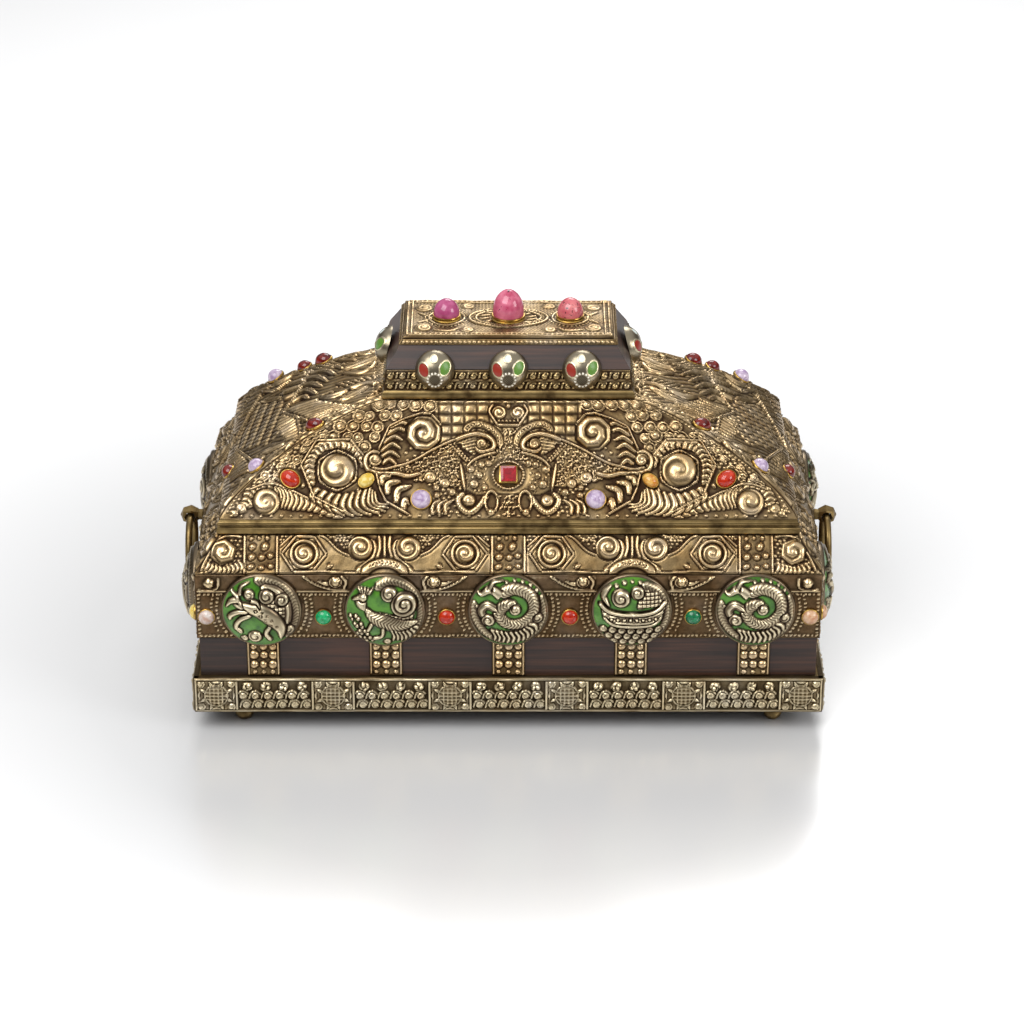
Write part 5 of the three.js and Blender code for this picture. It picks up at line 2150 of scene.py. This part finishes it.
    @staticmethod
    def lay_bird(r: Relief) -> None:
        """Lays a crested bird before a great scroll."""
        r.band([(-6, 17), (4, 22), (15, 18), (22, 8), (23, -4), (17, -15)], 3.0, 1.7, ribs=2.2)
        r.patch([(-4, 2), (4, -4), (18, -3), (20, 6), (8, -1)], cushions(2.4, 2.4), 1.3, base=0.8)
        r.scroll(3, 14, 5.2, 1.3, 1, 0, 2.4)
        r.scroll(12.4, 6.6, 8.4, 1.9, 1, 0, 2.8, swell=0.4)
        r.band([(-12, 5), (-8, -1), (0, -5.4), (10, -8), (21, -6)], 5.6, 2.9, Taper.LEAF, ribs=2.2)
        r.band([(-12.4, 3), (-15, 8), (-13, 12.4)], 3.6, 2.6, Taper.LEAF)
        r.bead(-13.6, 11.4, 2.9, 3.0)
        for k in range(5):
            r.band([(-14 + k, 13.6), (-17.4 + 2.6 * k, 18.4 - 0.2 * k)], 1.0, 2.0, Taper.TAIL)
        r.band([(-16, 11), (-20.6, 9)], 1.5, 2.2, Taper.TAIL)
        r.band([(-8, -6), (-11, -12), (-16.5, -12.4)], 1.4, 2.2)
        r.band([(-1, -9), (-2, -16), (-8, -18.6)], 1.4, 2.2)
        r.strew([(-24, -2), (-16, -2), (-13, -12), (-4, -22), (-14, -22)], 3.0, 1.35, 2.0)
        r.fringe([(4, -11), (11, -12.5), (18, -10)], [(5, -20), (13, -20), (21, -13)], 7, 0.15, 2.0)
        r.scroll(1.4, -21, 2.6, 1.0, -1, 0, 1.8)

    @staticmethod
    def lay_dragon(r: Relief) -> None:
        """Lays a curled serpent among leaves."""
        body = [(-6, 13), (4, 17), (14, 12), (16, 2), (9, -6), (-1, -6), (-6, 1), (-1, 7), (6, 5)]
        r.band([(-22, 8), (-21, -4), (-14, -15), (-2, -21)], 3.0, 1.8, ribs=2.2)
        r.band([(21, 12), (23, 0), (19, -12), (9, -20)], 2.8, 1.8, ribs=2.2)
        r.band(body, 3.9, 2.8, ribs=2.2, count=90)
        r.scroll(4.4, 3.8, 3.8, 1.0, 1, 0, 2.8)
        r.band([(-5, 13), (-11, 16.4), (-17, 13), (-20, 15)], 3.4, 2.8, Taper.TAIL)
        r.band([(-12, 16), (-9, 21), (-3, 22)], 1.5, 2.0, Taper.TAIL)
        r.band([(-7, 3), (-13, 6), (-17, 2), (-15, -3)], 2.6, 2.3, strands=1)
        r.scroll(-12.6, -4.6, 4.4, 1.2, -1, 0, 2.4)
        r.fringe(
            [(-11, -11), (-2, -12.5), (7, -11.5), (13, -7)], [(-9, -20), (-1, -22), (9, -20.4), (18, -13)], 10, 0.2,
            2.1,
        )
        r.scroll(18.6, -3.4, 3.6, 1.1, 1, 0, 2.2)
        r.beads([(-1, 21), (4, 22), (9, 21), (14, 18.6), (18, 15), (-20, 4.6)], 1.1, 1.8)

    @staticmethod
    def lay_ship(r: Relief) -> None:
        """Lays a walled ship over waves."""
        hull = [(-20, 6), (-15, 1), (14, 1), (21, 7), (19, -2), (12, -8), (-10, -8), (-18, -2)]
        r.band([(6, 20), (17, 14), (22.4, 4), (21, -8), (13, -18)], 2.8, 1.8, ribs=2.2)
        r.patch(hull, waves(2.4, 4, 0.8), 1.6, base=1.3)
        r.patch([(3, 4), (20, 6), (16, 14), (5, 18)], cushions(2.5, 2.5), 1.3, base=0.8)
        r.scroll(-7, 11, 6.0, 1.4, 1, 0, 2.5)
        r.scroll(3.6, 14.4, 4.4, 1.2, -1, 0, 2.4)
        r.band([(-14, 5), (-18, 12), (-13, 19)], 1.9, 2.2, Taper.LEAF, strands=1)
        r.band([(-21, 7), (-14, 1.8), (0, 0.4), (14, 1.8), (22, 8)], 1.5, 3.0)
        r.band([(-18, -2.4), (-10, -7.6), (12, -7.6), (19, -2)], 1.2, 2.8)
        for x in (-13, -9, -5, -1, 3, 7, 11, 15):
            r.bead(x, -3.2, 1.4, 3.2)
        for k, y in enumerate((-12, -16.6, -21)):
            for x in np.arange(-18 + 3.4 * k, 19 - 3 * k, 5.8):
                r.scroll(x, y, 2.8, 1.0, 1, 180, 2.1)
        r.beads([(x, 21.4 - 0.03 * x * x) for x in (-10, -5, 0, 5)], 1.1, 1.8)


@dataclass
class Block:
    """The bevelled block on the lid: its moulding, strip, plate, domed buttons and tall stones."""

    finishes: Finishes
    step: float = 0.65
    dome_radius: float = 12.5
    dome_rise: float = 8.0
    dome_rings: int = 44
    dome_spokes: int = 120

    def build(self) -> None:
        """Makes every piece of the block."""
        taper = SIZES.block[0] - SIZES.gallery[0]
        rise = SIZES.gallery_top - SIZES.gallery_foot
        for side in Side:
            along, out = side.axes
            slope, lean = math.hypot(rise, taper), math.atan2(rise, taper)
            low, high = SIZES.block, SIZES.gallery
            face = Face(side, low[out], SIZES.gallery_foot, lean, slope, low[along], high[along])
            EmbossedSheet(
                f"gallery_relief_{side.word}", face, self.step, self.work_strip, ["block_gallery"],
            ).build(self.finishes.dim)
        foot = SIZES.roof_top + AIR
        rounded = [
            (-3.0, foot), (0.2, foot), (1.0, foot + 0.9), (1.4, foot + 2.2), (1.4, foot + 3.6), (1.0, foot + 4.8),
            (0.1, foot + 5.6), (-0.2, foot + 6.3), (-1.4, foot + 6.4),
        ]
        Moulding("block_moulding", SIZES.block, rounded).build(self.finishes.plain, "gilt_metal", ["block_gallery"])
        self.make_plate()
        self.make_domes()
        self.make_tall_stones()

    @staticmethod
    def work_strip(r: Relief) -> None:
        """Lays two rows of small scrolls under a row of beads."""
        half = float(np.abs(r.x).max())
        count = round(2 * half / 7.4)
        for k in range(count):
            x = -half + 2 * half * (k + 0.5) / count
            r.band([(x - 3.9, 1.2), (x - 3.0, 4.6), (x - 0.2, 5.9), (x + 2.6, 4.4)], 0.7, 1.5)
            r.scroll(x, 2.9, 2.2, 1.1, 1, 180, 1.9, swell=0.6)
            r.band([(x - 3.6, 8.0), (x - 2.6, 11.6), (x + 0.6, 12.4), (x + 2.6, 10.4)], 0.7, 1.4)
            r.scroll(x + 0.4, 9.3, 2.3, 1.1, 1, 180, 1.8, swell=0.6)
        r.band([(-half + 0.6, 6.8), (half - 0.6, 6.8)], 0.5, 1.0)
        r.band([(-half + 0.6, 13.2), (half - 0.6, 13.2)], 0.5, 1.0)

    def make_plate(self) -> None:
        """Makes the embossed plate."""
        half_x, half_y = SIZES.plate
        face = Face(Side.FRONT, half_y, SIZES.plate_face, 0.0, 2 * half_y, half_x, half_x)
        sheet = EmbossedSheet("plate_relief", face, self.step, self.work_plate, ["top_plate"], edge=1.5)
        sheet.build(self.finishes.gilt)
        run, rise = SIZES.gallery[0] - SIZES.plate[0], SIZES.bevel_top - SIZES.gallery_top
        slope, drop = math.hypot(run, rise), 3.6
        share = (slope - drop) / slope
        for side in Side:
            along, out = side.axes
            face = Face(
                side, SIZES.gallery[out] - run * share, SIZES.gallery_top + rise * share, math.atan2(rise, run), drop,
                SIZES.gallery[along] - run * share, SIZES.plate[along],
            )
            EmbossedSheet(
                f"plate_edge_{side.word}", face, self.step, self.work_edge, [], lift=0.9,
            ).build(self.finishes.gilt)

    @staticmethod
    def work_edge(r: Relief) -> None:
        """Lays the row of beads on the plate's turned-down edge."""
        half = float(np.abs(r.x).max())
        r.beads([(x, 1.7) for x in np.arange(-half + 2, half - 1, 3.0)], 1.1, 0.9)
        r.band([(-half + 0.6, 3.2), (half - 0.6, 3.2)], 0.4, 0.6)

    @staticmethod
    def work_plate(r: Relief) -> None:
        """Lays the plate's border, its scrolls and the oval wreath round the middle stone."""
        r.h[:] = 0.3 * grains(2.2)(r.x, r.y)
        for y in (1.6, 4.2, 53.8, 56.4):
            r.band([(-64, y), (64, y)], 0.6, 0.9)
        for y in (2.9, 55.1):
            r.beads([(x, y) for x in np.arange(-62, 63, 3.2)], 0.8, 0.8)
        for s in (1, -1):
            for x in (64.2, 61.4):
                r.band([(s * x, 2), (s * x, 56)], 0.6, 0.9)
            r.scroll(s * 54, 13, 5.6, 1.9, s, 0, 1.3)
            r.scroll(s * 54, 45, 5.6, 1.9, -s, 0, 1.3)
            r.scroll(s * 26, 10, 4.6, 1.7, -s, 0, 1.2)
            r.scroll(s * 26, 48, 4.6, 1.7, s, 0, 1.2)
            r.band(sided(s, (58, 20), (50, 29), (58, 38)), 1.9, 1.2, Taper.LEAF, ribs=2.2)
            r.band(sided(s, (48, 10), (38, 8), (31, 13)), 1.8, 1.2, Taper.LEAF, ribs=2.2)
            r.band(sided(s, (48, 48), (38, 50), (31, 45)), 1.8, 1.2, Taper.LEAF, ribs=2.2)
            r.ring(s * 39.4, 29, 11.4, 0.9, 1.2)
            r.string(arc(s * 39.4, 29, 13.6, 13.6, TURN, 33), 2.6, 0.8, 1.0)
        for stretch, radius in ((1.7, 14.6), (1.7, 12.2)):
            r.ring(0, 29, radius, 0.8, 1.3, stretch)
        wreath = arc(0, 29, 22.6, 13.4, TURN, 49)
        r.string(wreath, 2.5, 0.95, 1.2)
        for k in range(14):
            a = 2 * math.pi * k / 14
            start, end = (11.5 * math.cos(a), 29 + 10.6 * math.sin(a)), (
                19 * math.cos(a + 0.25), 29 + 11.4 * math.sin(a + 0.25),
            )
            r.band([start, end], 1.2, 1.1, Taper.LEAF)

    def make_domes(self) -> None:
        """Makes the domed buttons with their four insets."""
        run, rise = SIZES.gallery[0] - SIZES.plate[0], SIZES.bevel_top - SIZES.gallery_top
        lean = math.pi / 2 - math.atan2(run, rise) / 2
        for side in Side:
            places = [-46.3, 0.0, 46.3] if side.long else [0.0]
            for i, x in enumerate(places):
                out = SIZES.gallery[1 if side.long else 0] + 0.45
                face = Face(side, out, SIZES.gallery_top + 0.3, lean, 1, 1, 1)
                node = f"dome_{side.word}_{i + 1}" if side.long else f"dome_{side.word}"
                self.make_dome(face, x, node)

    def make_dome(self, face: Face, x: float, node: str) -> None:
        """Makes one domed button.

        Args:
            face: what it sits on.
            x: its middle along the side.
            node: the solid it stands for.
        """
        rows, columns = self.dome_rings, self.dome_spokes
        piece, across, up = grid_piece(columns + 1, rows)
        share = np.linspace(0, 1, rows - 1) ** 0.85
        angle = np.linspace(0, 2 * math.pi, columns + 1)
        radial = share[np.clip(up, 0, rows - 2)] * self.dome_radius
        px, py = radial * np.cos(angle[across]), radial * np.sin(angle[across])
        bell = np.sqrt(np.clip(1 - (radial / self.dome_radius) ** 2 * 0.97, 0, 1))
        height = self.dome_rise * (bell - bell.min()) / (bell.max() - bell.min())
        wear = np.full(len(px), 0.56)
        colour = np.zeros((len(px), 4))
        for cx, cy, rx, ry, lean, tone in (
            (
                -6.9, 0.4, 2.9, 4.3, -0.3, "8a2617",
            ), (6.6, 1.7, 3.0, 4.5, 0.35, "557d2b"), (-0.4, 7.7, 2.0, 2.2, 0.0, "c9d2cd")
        ):
            dx, dy = px - cx, py - cy
            far = np.hypot(
                (dx * math.cos(lean) - dy * math.sin(lean)) / rx, (dx * math.sin(lean) + dy * math.cos(lean)) / ry,
            )
            colour[far < 1] = linear(tone)
            height -= np.where(far < 1, 0.12, 0)
            height += 0.28 * np.exp(-(((far - 1.14) / 0.12) ** 2))
            wear = np.where((far > 1) & (far < 1.26), 0.9, wear)
        far = np.hypot(px, py + 6.0)
        wear = np.where(far < 3.4, 0.3 + 0.1 * np.sin(px * 4) * np.sin(py * 4), wear)
        height -= np.where(far < 3.4, 0.12, 0)
        for k in range(13):
            a = 2 * math.pi * k / 13
            bead = np.hypot(px - 4.5 * math.cos(a), py + 6.0 - 4.5 * math.sin(a))
            height += 0.45 * np.sqrt(np.clip(1 - (bead / 0.75) ** 2, 0, 1))
            colour[bead < 0.7] = linear("e6dfcf")
        height = np.where(up == rows - 1, 0.0, height)
        move_points(piece, face.place(px + x, py, height))
        give(piece, "wear", wear)
        give(piece, "inset", colour, "FLOAT_COLOR")
        close_up()
        dress(piece, node.replace("dome", "button"), self.finishes.silver, "silver", [node])

    def make_tall_stones(self) -> None:
        """Makes the three tall stones with their collets."""
        level = SIZES.bevel_top + 2 * AIR + 1.6
        for tag, x, radius, height, material in (
            ("left", -39.4, 8.2, 13.2, self.finishes.rose),
            ("centre", 0.0, 9.8, 19.6, self.finishes.rhodonite),
            ("right", 39.4, 8.2, 13.8, self.finishes.speckled),
        ):
            deselect()
            bpy.ops.mesh.primitive_uv_sphere_add(segments=48, ring_count=32, radius=1)
            stone = bpy.context.object
            p = points_of(stone)
            above = np.clip(p[:, 2], 0, 1)
            fuller = 1 + 0.16 * above * (1 - above**3)
            rise = np.where(p[:, 2] > 0, p[:, 2] * height * 0.88, p[:, 2] * height * 0.11)
            places = np.stack(
                [x + p[:, 0] * radius * fuller, p[:, 1] * radius * fuller, level + height * 0.12 + rise], axis=-1,
            )
            move_points(stone, places)
            dress(stone, f"tall_stone_{tag}", material, "rhodonite", [f"top_stone_{tag}"])
            ring = Turned(
                f"tall_collet_{tag}",
                [
                    (0.0, 0.0), (1.1, 0.0), (1.12, 0.5), (1.05, 1.0), (1.06, 1.7), (1.1, 2.2), (1.08, 2.7),
                    (1.0, 2.9), (0.9, 2.5),
                ],
            )
            ring.build(self.finishes.collet, "gilt_metal", (x, 0.0, level), radius)


@dataclass
class Turned:
    """A turned piece from a profile of (share of the radius, height)."""

    name: str
    profile: Line
    steps: int = 40

    def build(
        self,
        material: Material,
        slot: str,
        place: tuple[float, float, float],
        radius: float = 1.0,
        nodes: Sequence[str] = (),
    ) -> Piece:
        """Makes the piece from a circle extruded along its profile.

        Args:
            material: its finish.
            slot: the record's material slot.
            place: where its foot is, in millimetres.
            radius: what a share of 1 means.
            nodes: the solids it stands for.

        Returns:
            The piece.
        """
        rows = len(self.profile)
        piece, across, up = grid_piece(self.steps + 1, rows)
        angle = np.linspace(0, 2 * math.pi, self.steps + 1)[across]
        profile = np.asarray(self.profile, float)
        r, h = profile[up, 0] * radius, profile[up, 1]
        a, b = r * np.cos(angle), r * np.sin(angle)
        move_points(piece, np.stack([place[0] + a, place[1] + b, place[2] + h], axis=-1))
        close_up()
        dress(piece, self.name, material, slot, nodes)
        piece.select_set(True)
        bpy.ops.object.shade_smooth_by_angle(angle=math.radians(45))
        log.info("%s: %d points", self.name, len(piece.data.vertices))
        return piece


@dataclass
class Fittings:
    """The feet, the rail round the lid and the rings."""

    finishes: Finishes
    ring_radius: float = 24.0
    ring_bar: float = 2.3
    knob_reach: float = 11.0

    def build(self) -> None:
        """Makes every fitting."""
        self.make_rail()
        self.make_feet()
        for side in (Side.LEFT, Side.RIGHT):
            self.make_ring(side)
        log.info("fittings made")

    def make_rail(self) -> None:
        """Makes the reeded rail round the foot of the lid."""
        foot = SIZES.cove_top + AIR
        profile = [
            (-1.6, foot), (0.9, foot), (1.5, foot + 0.5), (1.6, foot + 1.2), (1.6, foot + 3.4), (1.3, foot + 4.3),
            (0.4, foot + 4.9), (0.2, foot + 5.4), (0.9, foot + 5.8), (1.15, foot + 6.6), (1.0, foot + 7.6),
            (0.3, foot + 8.2), (0.1, foot + 8.7), (0.35, foot + 9.1), (0.1, foot + 9.55), (-1.2, foot + 9.6),
        ]
        Moulding("lid_rail_moulding", SIZES.cove, profile).build(self.finishes.plain, "gilt_metal", ["lid_rail"])

    def make_feet(self) -> None:
        """Makes the four feet."""
        profile = [
            (0, 0), (2.4, 0), (3.6, 0.5), (5.0, 1.8), (5.9, 3.6), (6.0, 5.4), (5.4, 7.4), (4.2, 9.0), (3.8, 10.2),
            (5.0, 10.7), (11.2, 11.3), (11.9, 12.0), (12.0, 13.4), (11.4, 13.7), (0, 13.7),
        ]
        for name, x, y in (
            ("front_left", -170, -91), ("front_right", 170, -91), ("back_left", -170, 91), ("back_right", 170, 91),
        ):
            Turned(f"ball_foot_{name}", profile).build(
                self.finishes.plain, "gilt_metal", (x, y, 0), nodes=[f"foot_{name}"],
            )

    def make_ring(self, side: Side) -> None:
        """Makes the ring of one end.

        Args:
            side: the end it hangs on.
        """
        out, level = SIZES.skin[0] + AIR + self.knob_reach, SIZES.body_top - 10 - self.ring_radius
        deselect()
        bpy.ops.mesh.primitive_torus_add(
            major_segments=96, minor_segments=20, major_radius=self.ring_radius * MM, minor_radius=self.ring_bar * MM,
        )
        ring = bpy.context.object
        p = points_of(ring) / MM
        move_points(ring, turned(side, p[:, 0], -(out + p[:, 2]), level + p[:, 1]))
        name = side.word
        dress(ring, f"drop_ring_{name}", self.finishes.plain, "gilt_metal", [f"handle_ring_{name}"], f"{name}_ring")


@dataclass
class Studio:
    """The pale floor, the soft lights and the camera, in millimetres and degrees."""

    camera_distance: float = 2292.79
    elevation: float = 26.45
    aim_level: float = 102.56
    shift_right: float = 2.29
    lens: float = 123.05
    sensor: float = 36.0

    def build(self) -> None:
        """Sets up the floor, the world, the lights and the camera."""
        self.lay_floor()
        world = bpy.data.worlds.new("studio")
        bpy.context.scene.world = world
        world.use_nodes = True
        tree = world.node_tree
        way = add_node(tree, "ShaderNodeTexCoord")
        parts = add_node(tree, "ShaderNodeSeparateXYZ", {"Vector": way.outputs["Generated"]})
        # A dim room with a broad light ceiling, which gives the metal its contrast.
        sky = add_node(
            tree,
            "ShaderNodeValToRGB",
            {"Fac": parts.outputs["Z"]},
            stops=[(0.0, "55504a"), (0.3, "8b8a88"), (0.62, "f2f3f6"), (1.0, "ffffff")],
        )
        tree.links.new(sky.outputs["Color"], tree.nodes["Background"].inputs["Color"])
        tree.nodes["Background"].inputs["Strength"].default_value = 0.9
        bpy.context.scene.view_settings.view_transform = "Standard"
        self.add_light("key", (-0.7, -0.9, 1.5), 1.3, 26)
        self.add_light("fill", (1.3, -0.8, 0.8), 0.7, 9)
        self.add_light("rim", (0.2, 1.3, 1.3), 0.9, 14)
        self.place_camera()

    @staticmethod
    def lay_floor() -> None:
        """Lays the pale floor."""
        deselect()
        bpy.ops.mesh.primitive_plane_add(size=8)
        floor = bpy.context.object
        floor.name = "studio_floor"
        mix = Recipe("pale_floor")
        reach = add_node(mix.tree, "ShaderNodeVectorMath", {0: mix.place}, operation="LENGTH").outputs["Value"]
        # White, and a little greyer within half a metre of the casket: painted shade round it, which also lets its
        # reflection show.
        tone = mix.ramp(reach, (0.28, "c9c9c9"), (0.6, "f7f7f7"))
        floor.data.materials.append(mix.finish({"Base Color": tone, "Roughness": 0.22, "IOR": 2.4}))

    @staticmethod
    def add_light(name: str, place: tuple[float, float, float], size: float, power: float) -> None:
        """Adds a soft light that faces the casket.

        Args:
            name: the light's name.
            place: where it stands, in metres.
            size: its side.
            power: its power in watts.
        """
        data = bpy.data.lights.new(name, "AREA")
        data.size, data.energy = size, power
        light = bpy.data.objects.new(name, data)
        light.location = place
        x, y, z = place[0], place[1], place[2] - 0.12
        light.rotation_euler = (math.atan2(math.hypot(x, y), z), 0, math.atan2(x, -y))
        bpy.context.collection.objects.link(light)

    def place_camera(self) -> None:
        """Puts the camera where the photograph was taken from."""
        data = bpy.data.cameras.new("camera")
        data.lens, data.sensor_width = self.lens, self.sensor
        camera = bpy.data.objects.new("camera", data)
        angle = math.radians(self.elevation)
        camera.location = (
            self.shift_right * MM,
            -self.camera_distance * math.cos(angle) * MM,
            (self.aim_level + self.camera_distance * math.sin(angle)) * MM,
        )
        camera.rotation_euler = (math.pi / 2 - angle, 0, 0)
        bpy.context.collection.objects.link(camera)
        bpy.context.scene.camera = camera


def dress_solids(frame: dict, finishes: Finishes) -> None:
    """Gives the solids that stay in view their finishes.

    Args:
        frame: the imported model.
        finishes: every finish.
    """
    looks = {"carcase": finishes.wood, "lid_shell": finishes.wood, "block": finishes.wood}
    looks.update({f"handle_knob_{end}": finishes.plain for end in ("left", "right")})
    for name, material in looks.items():
        for slot in frame["nodes"][name].material_slots:
            slot.material = material
        log.info("%s: %s", name, material.name)


def main() -> None:
    """Builds the casket's looks and the studio."""
    logging.basicConfig(level=logging.INFO, format="%(name)s: %(message)s")
    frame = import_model()
    finishes = Finishes()
    dress_solids(frame, finishes)
    for assembly in (Roof, Shoulder, Wall, Plinth, Straps, Medallions, Block, Fittings):
        assembly(finishes).build()
        log.info("%s done", assembly.__name__)
    Studio().build()


if __name__ == "__main__":
    main()
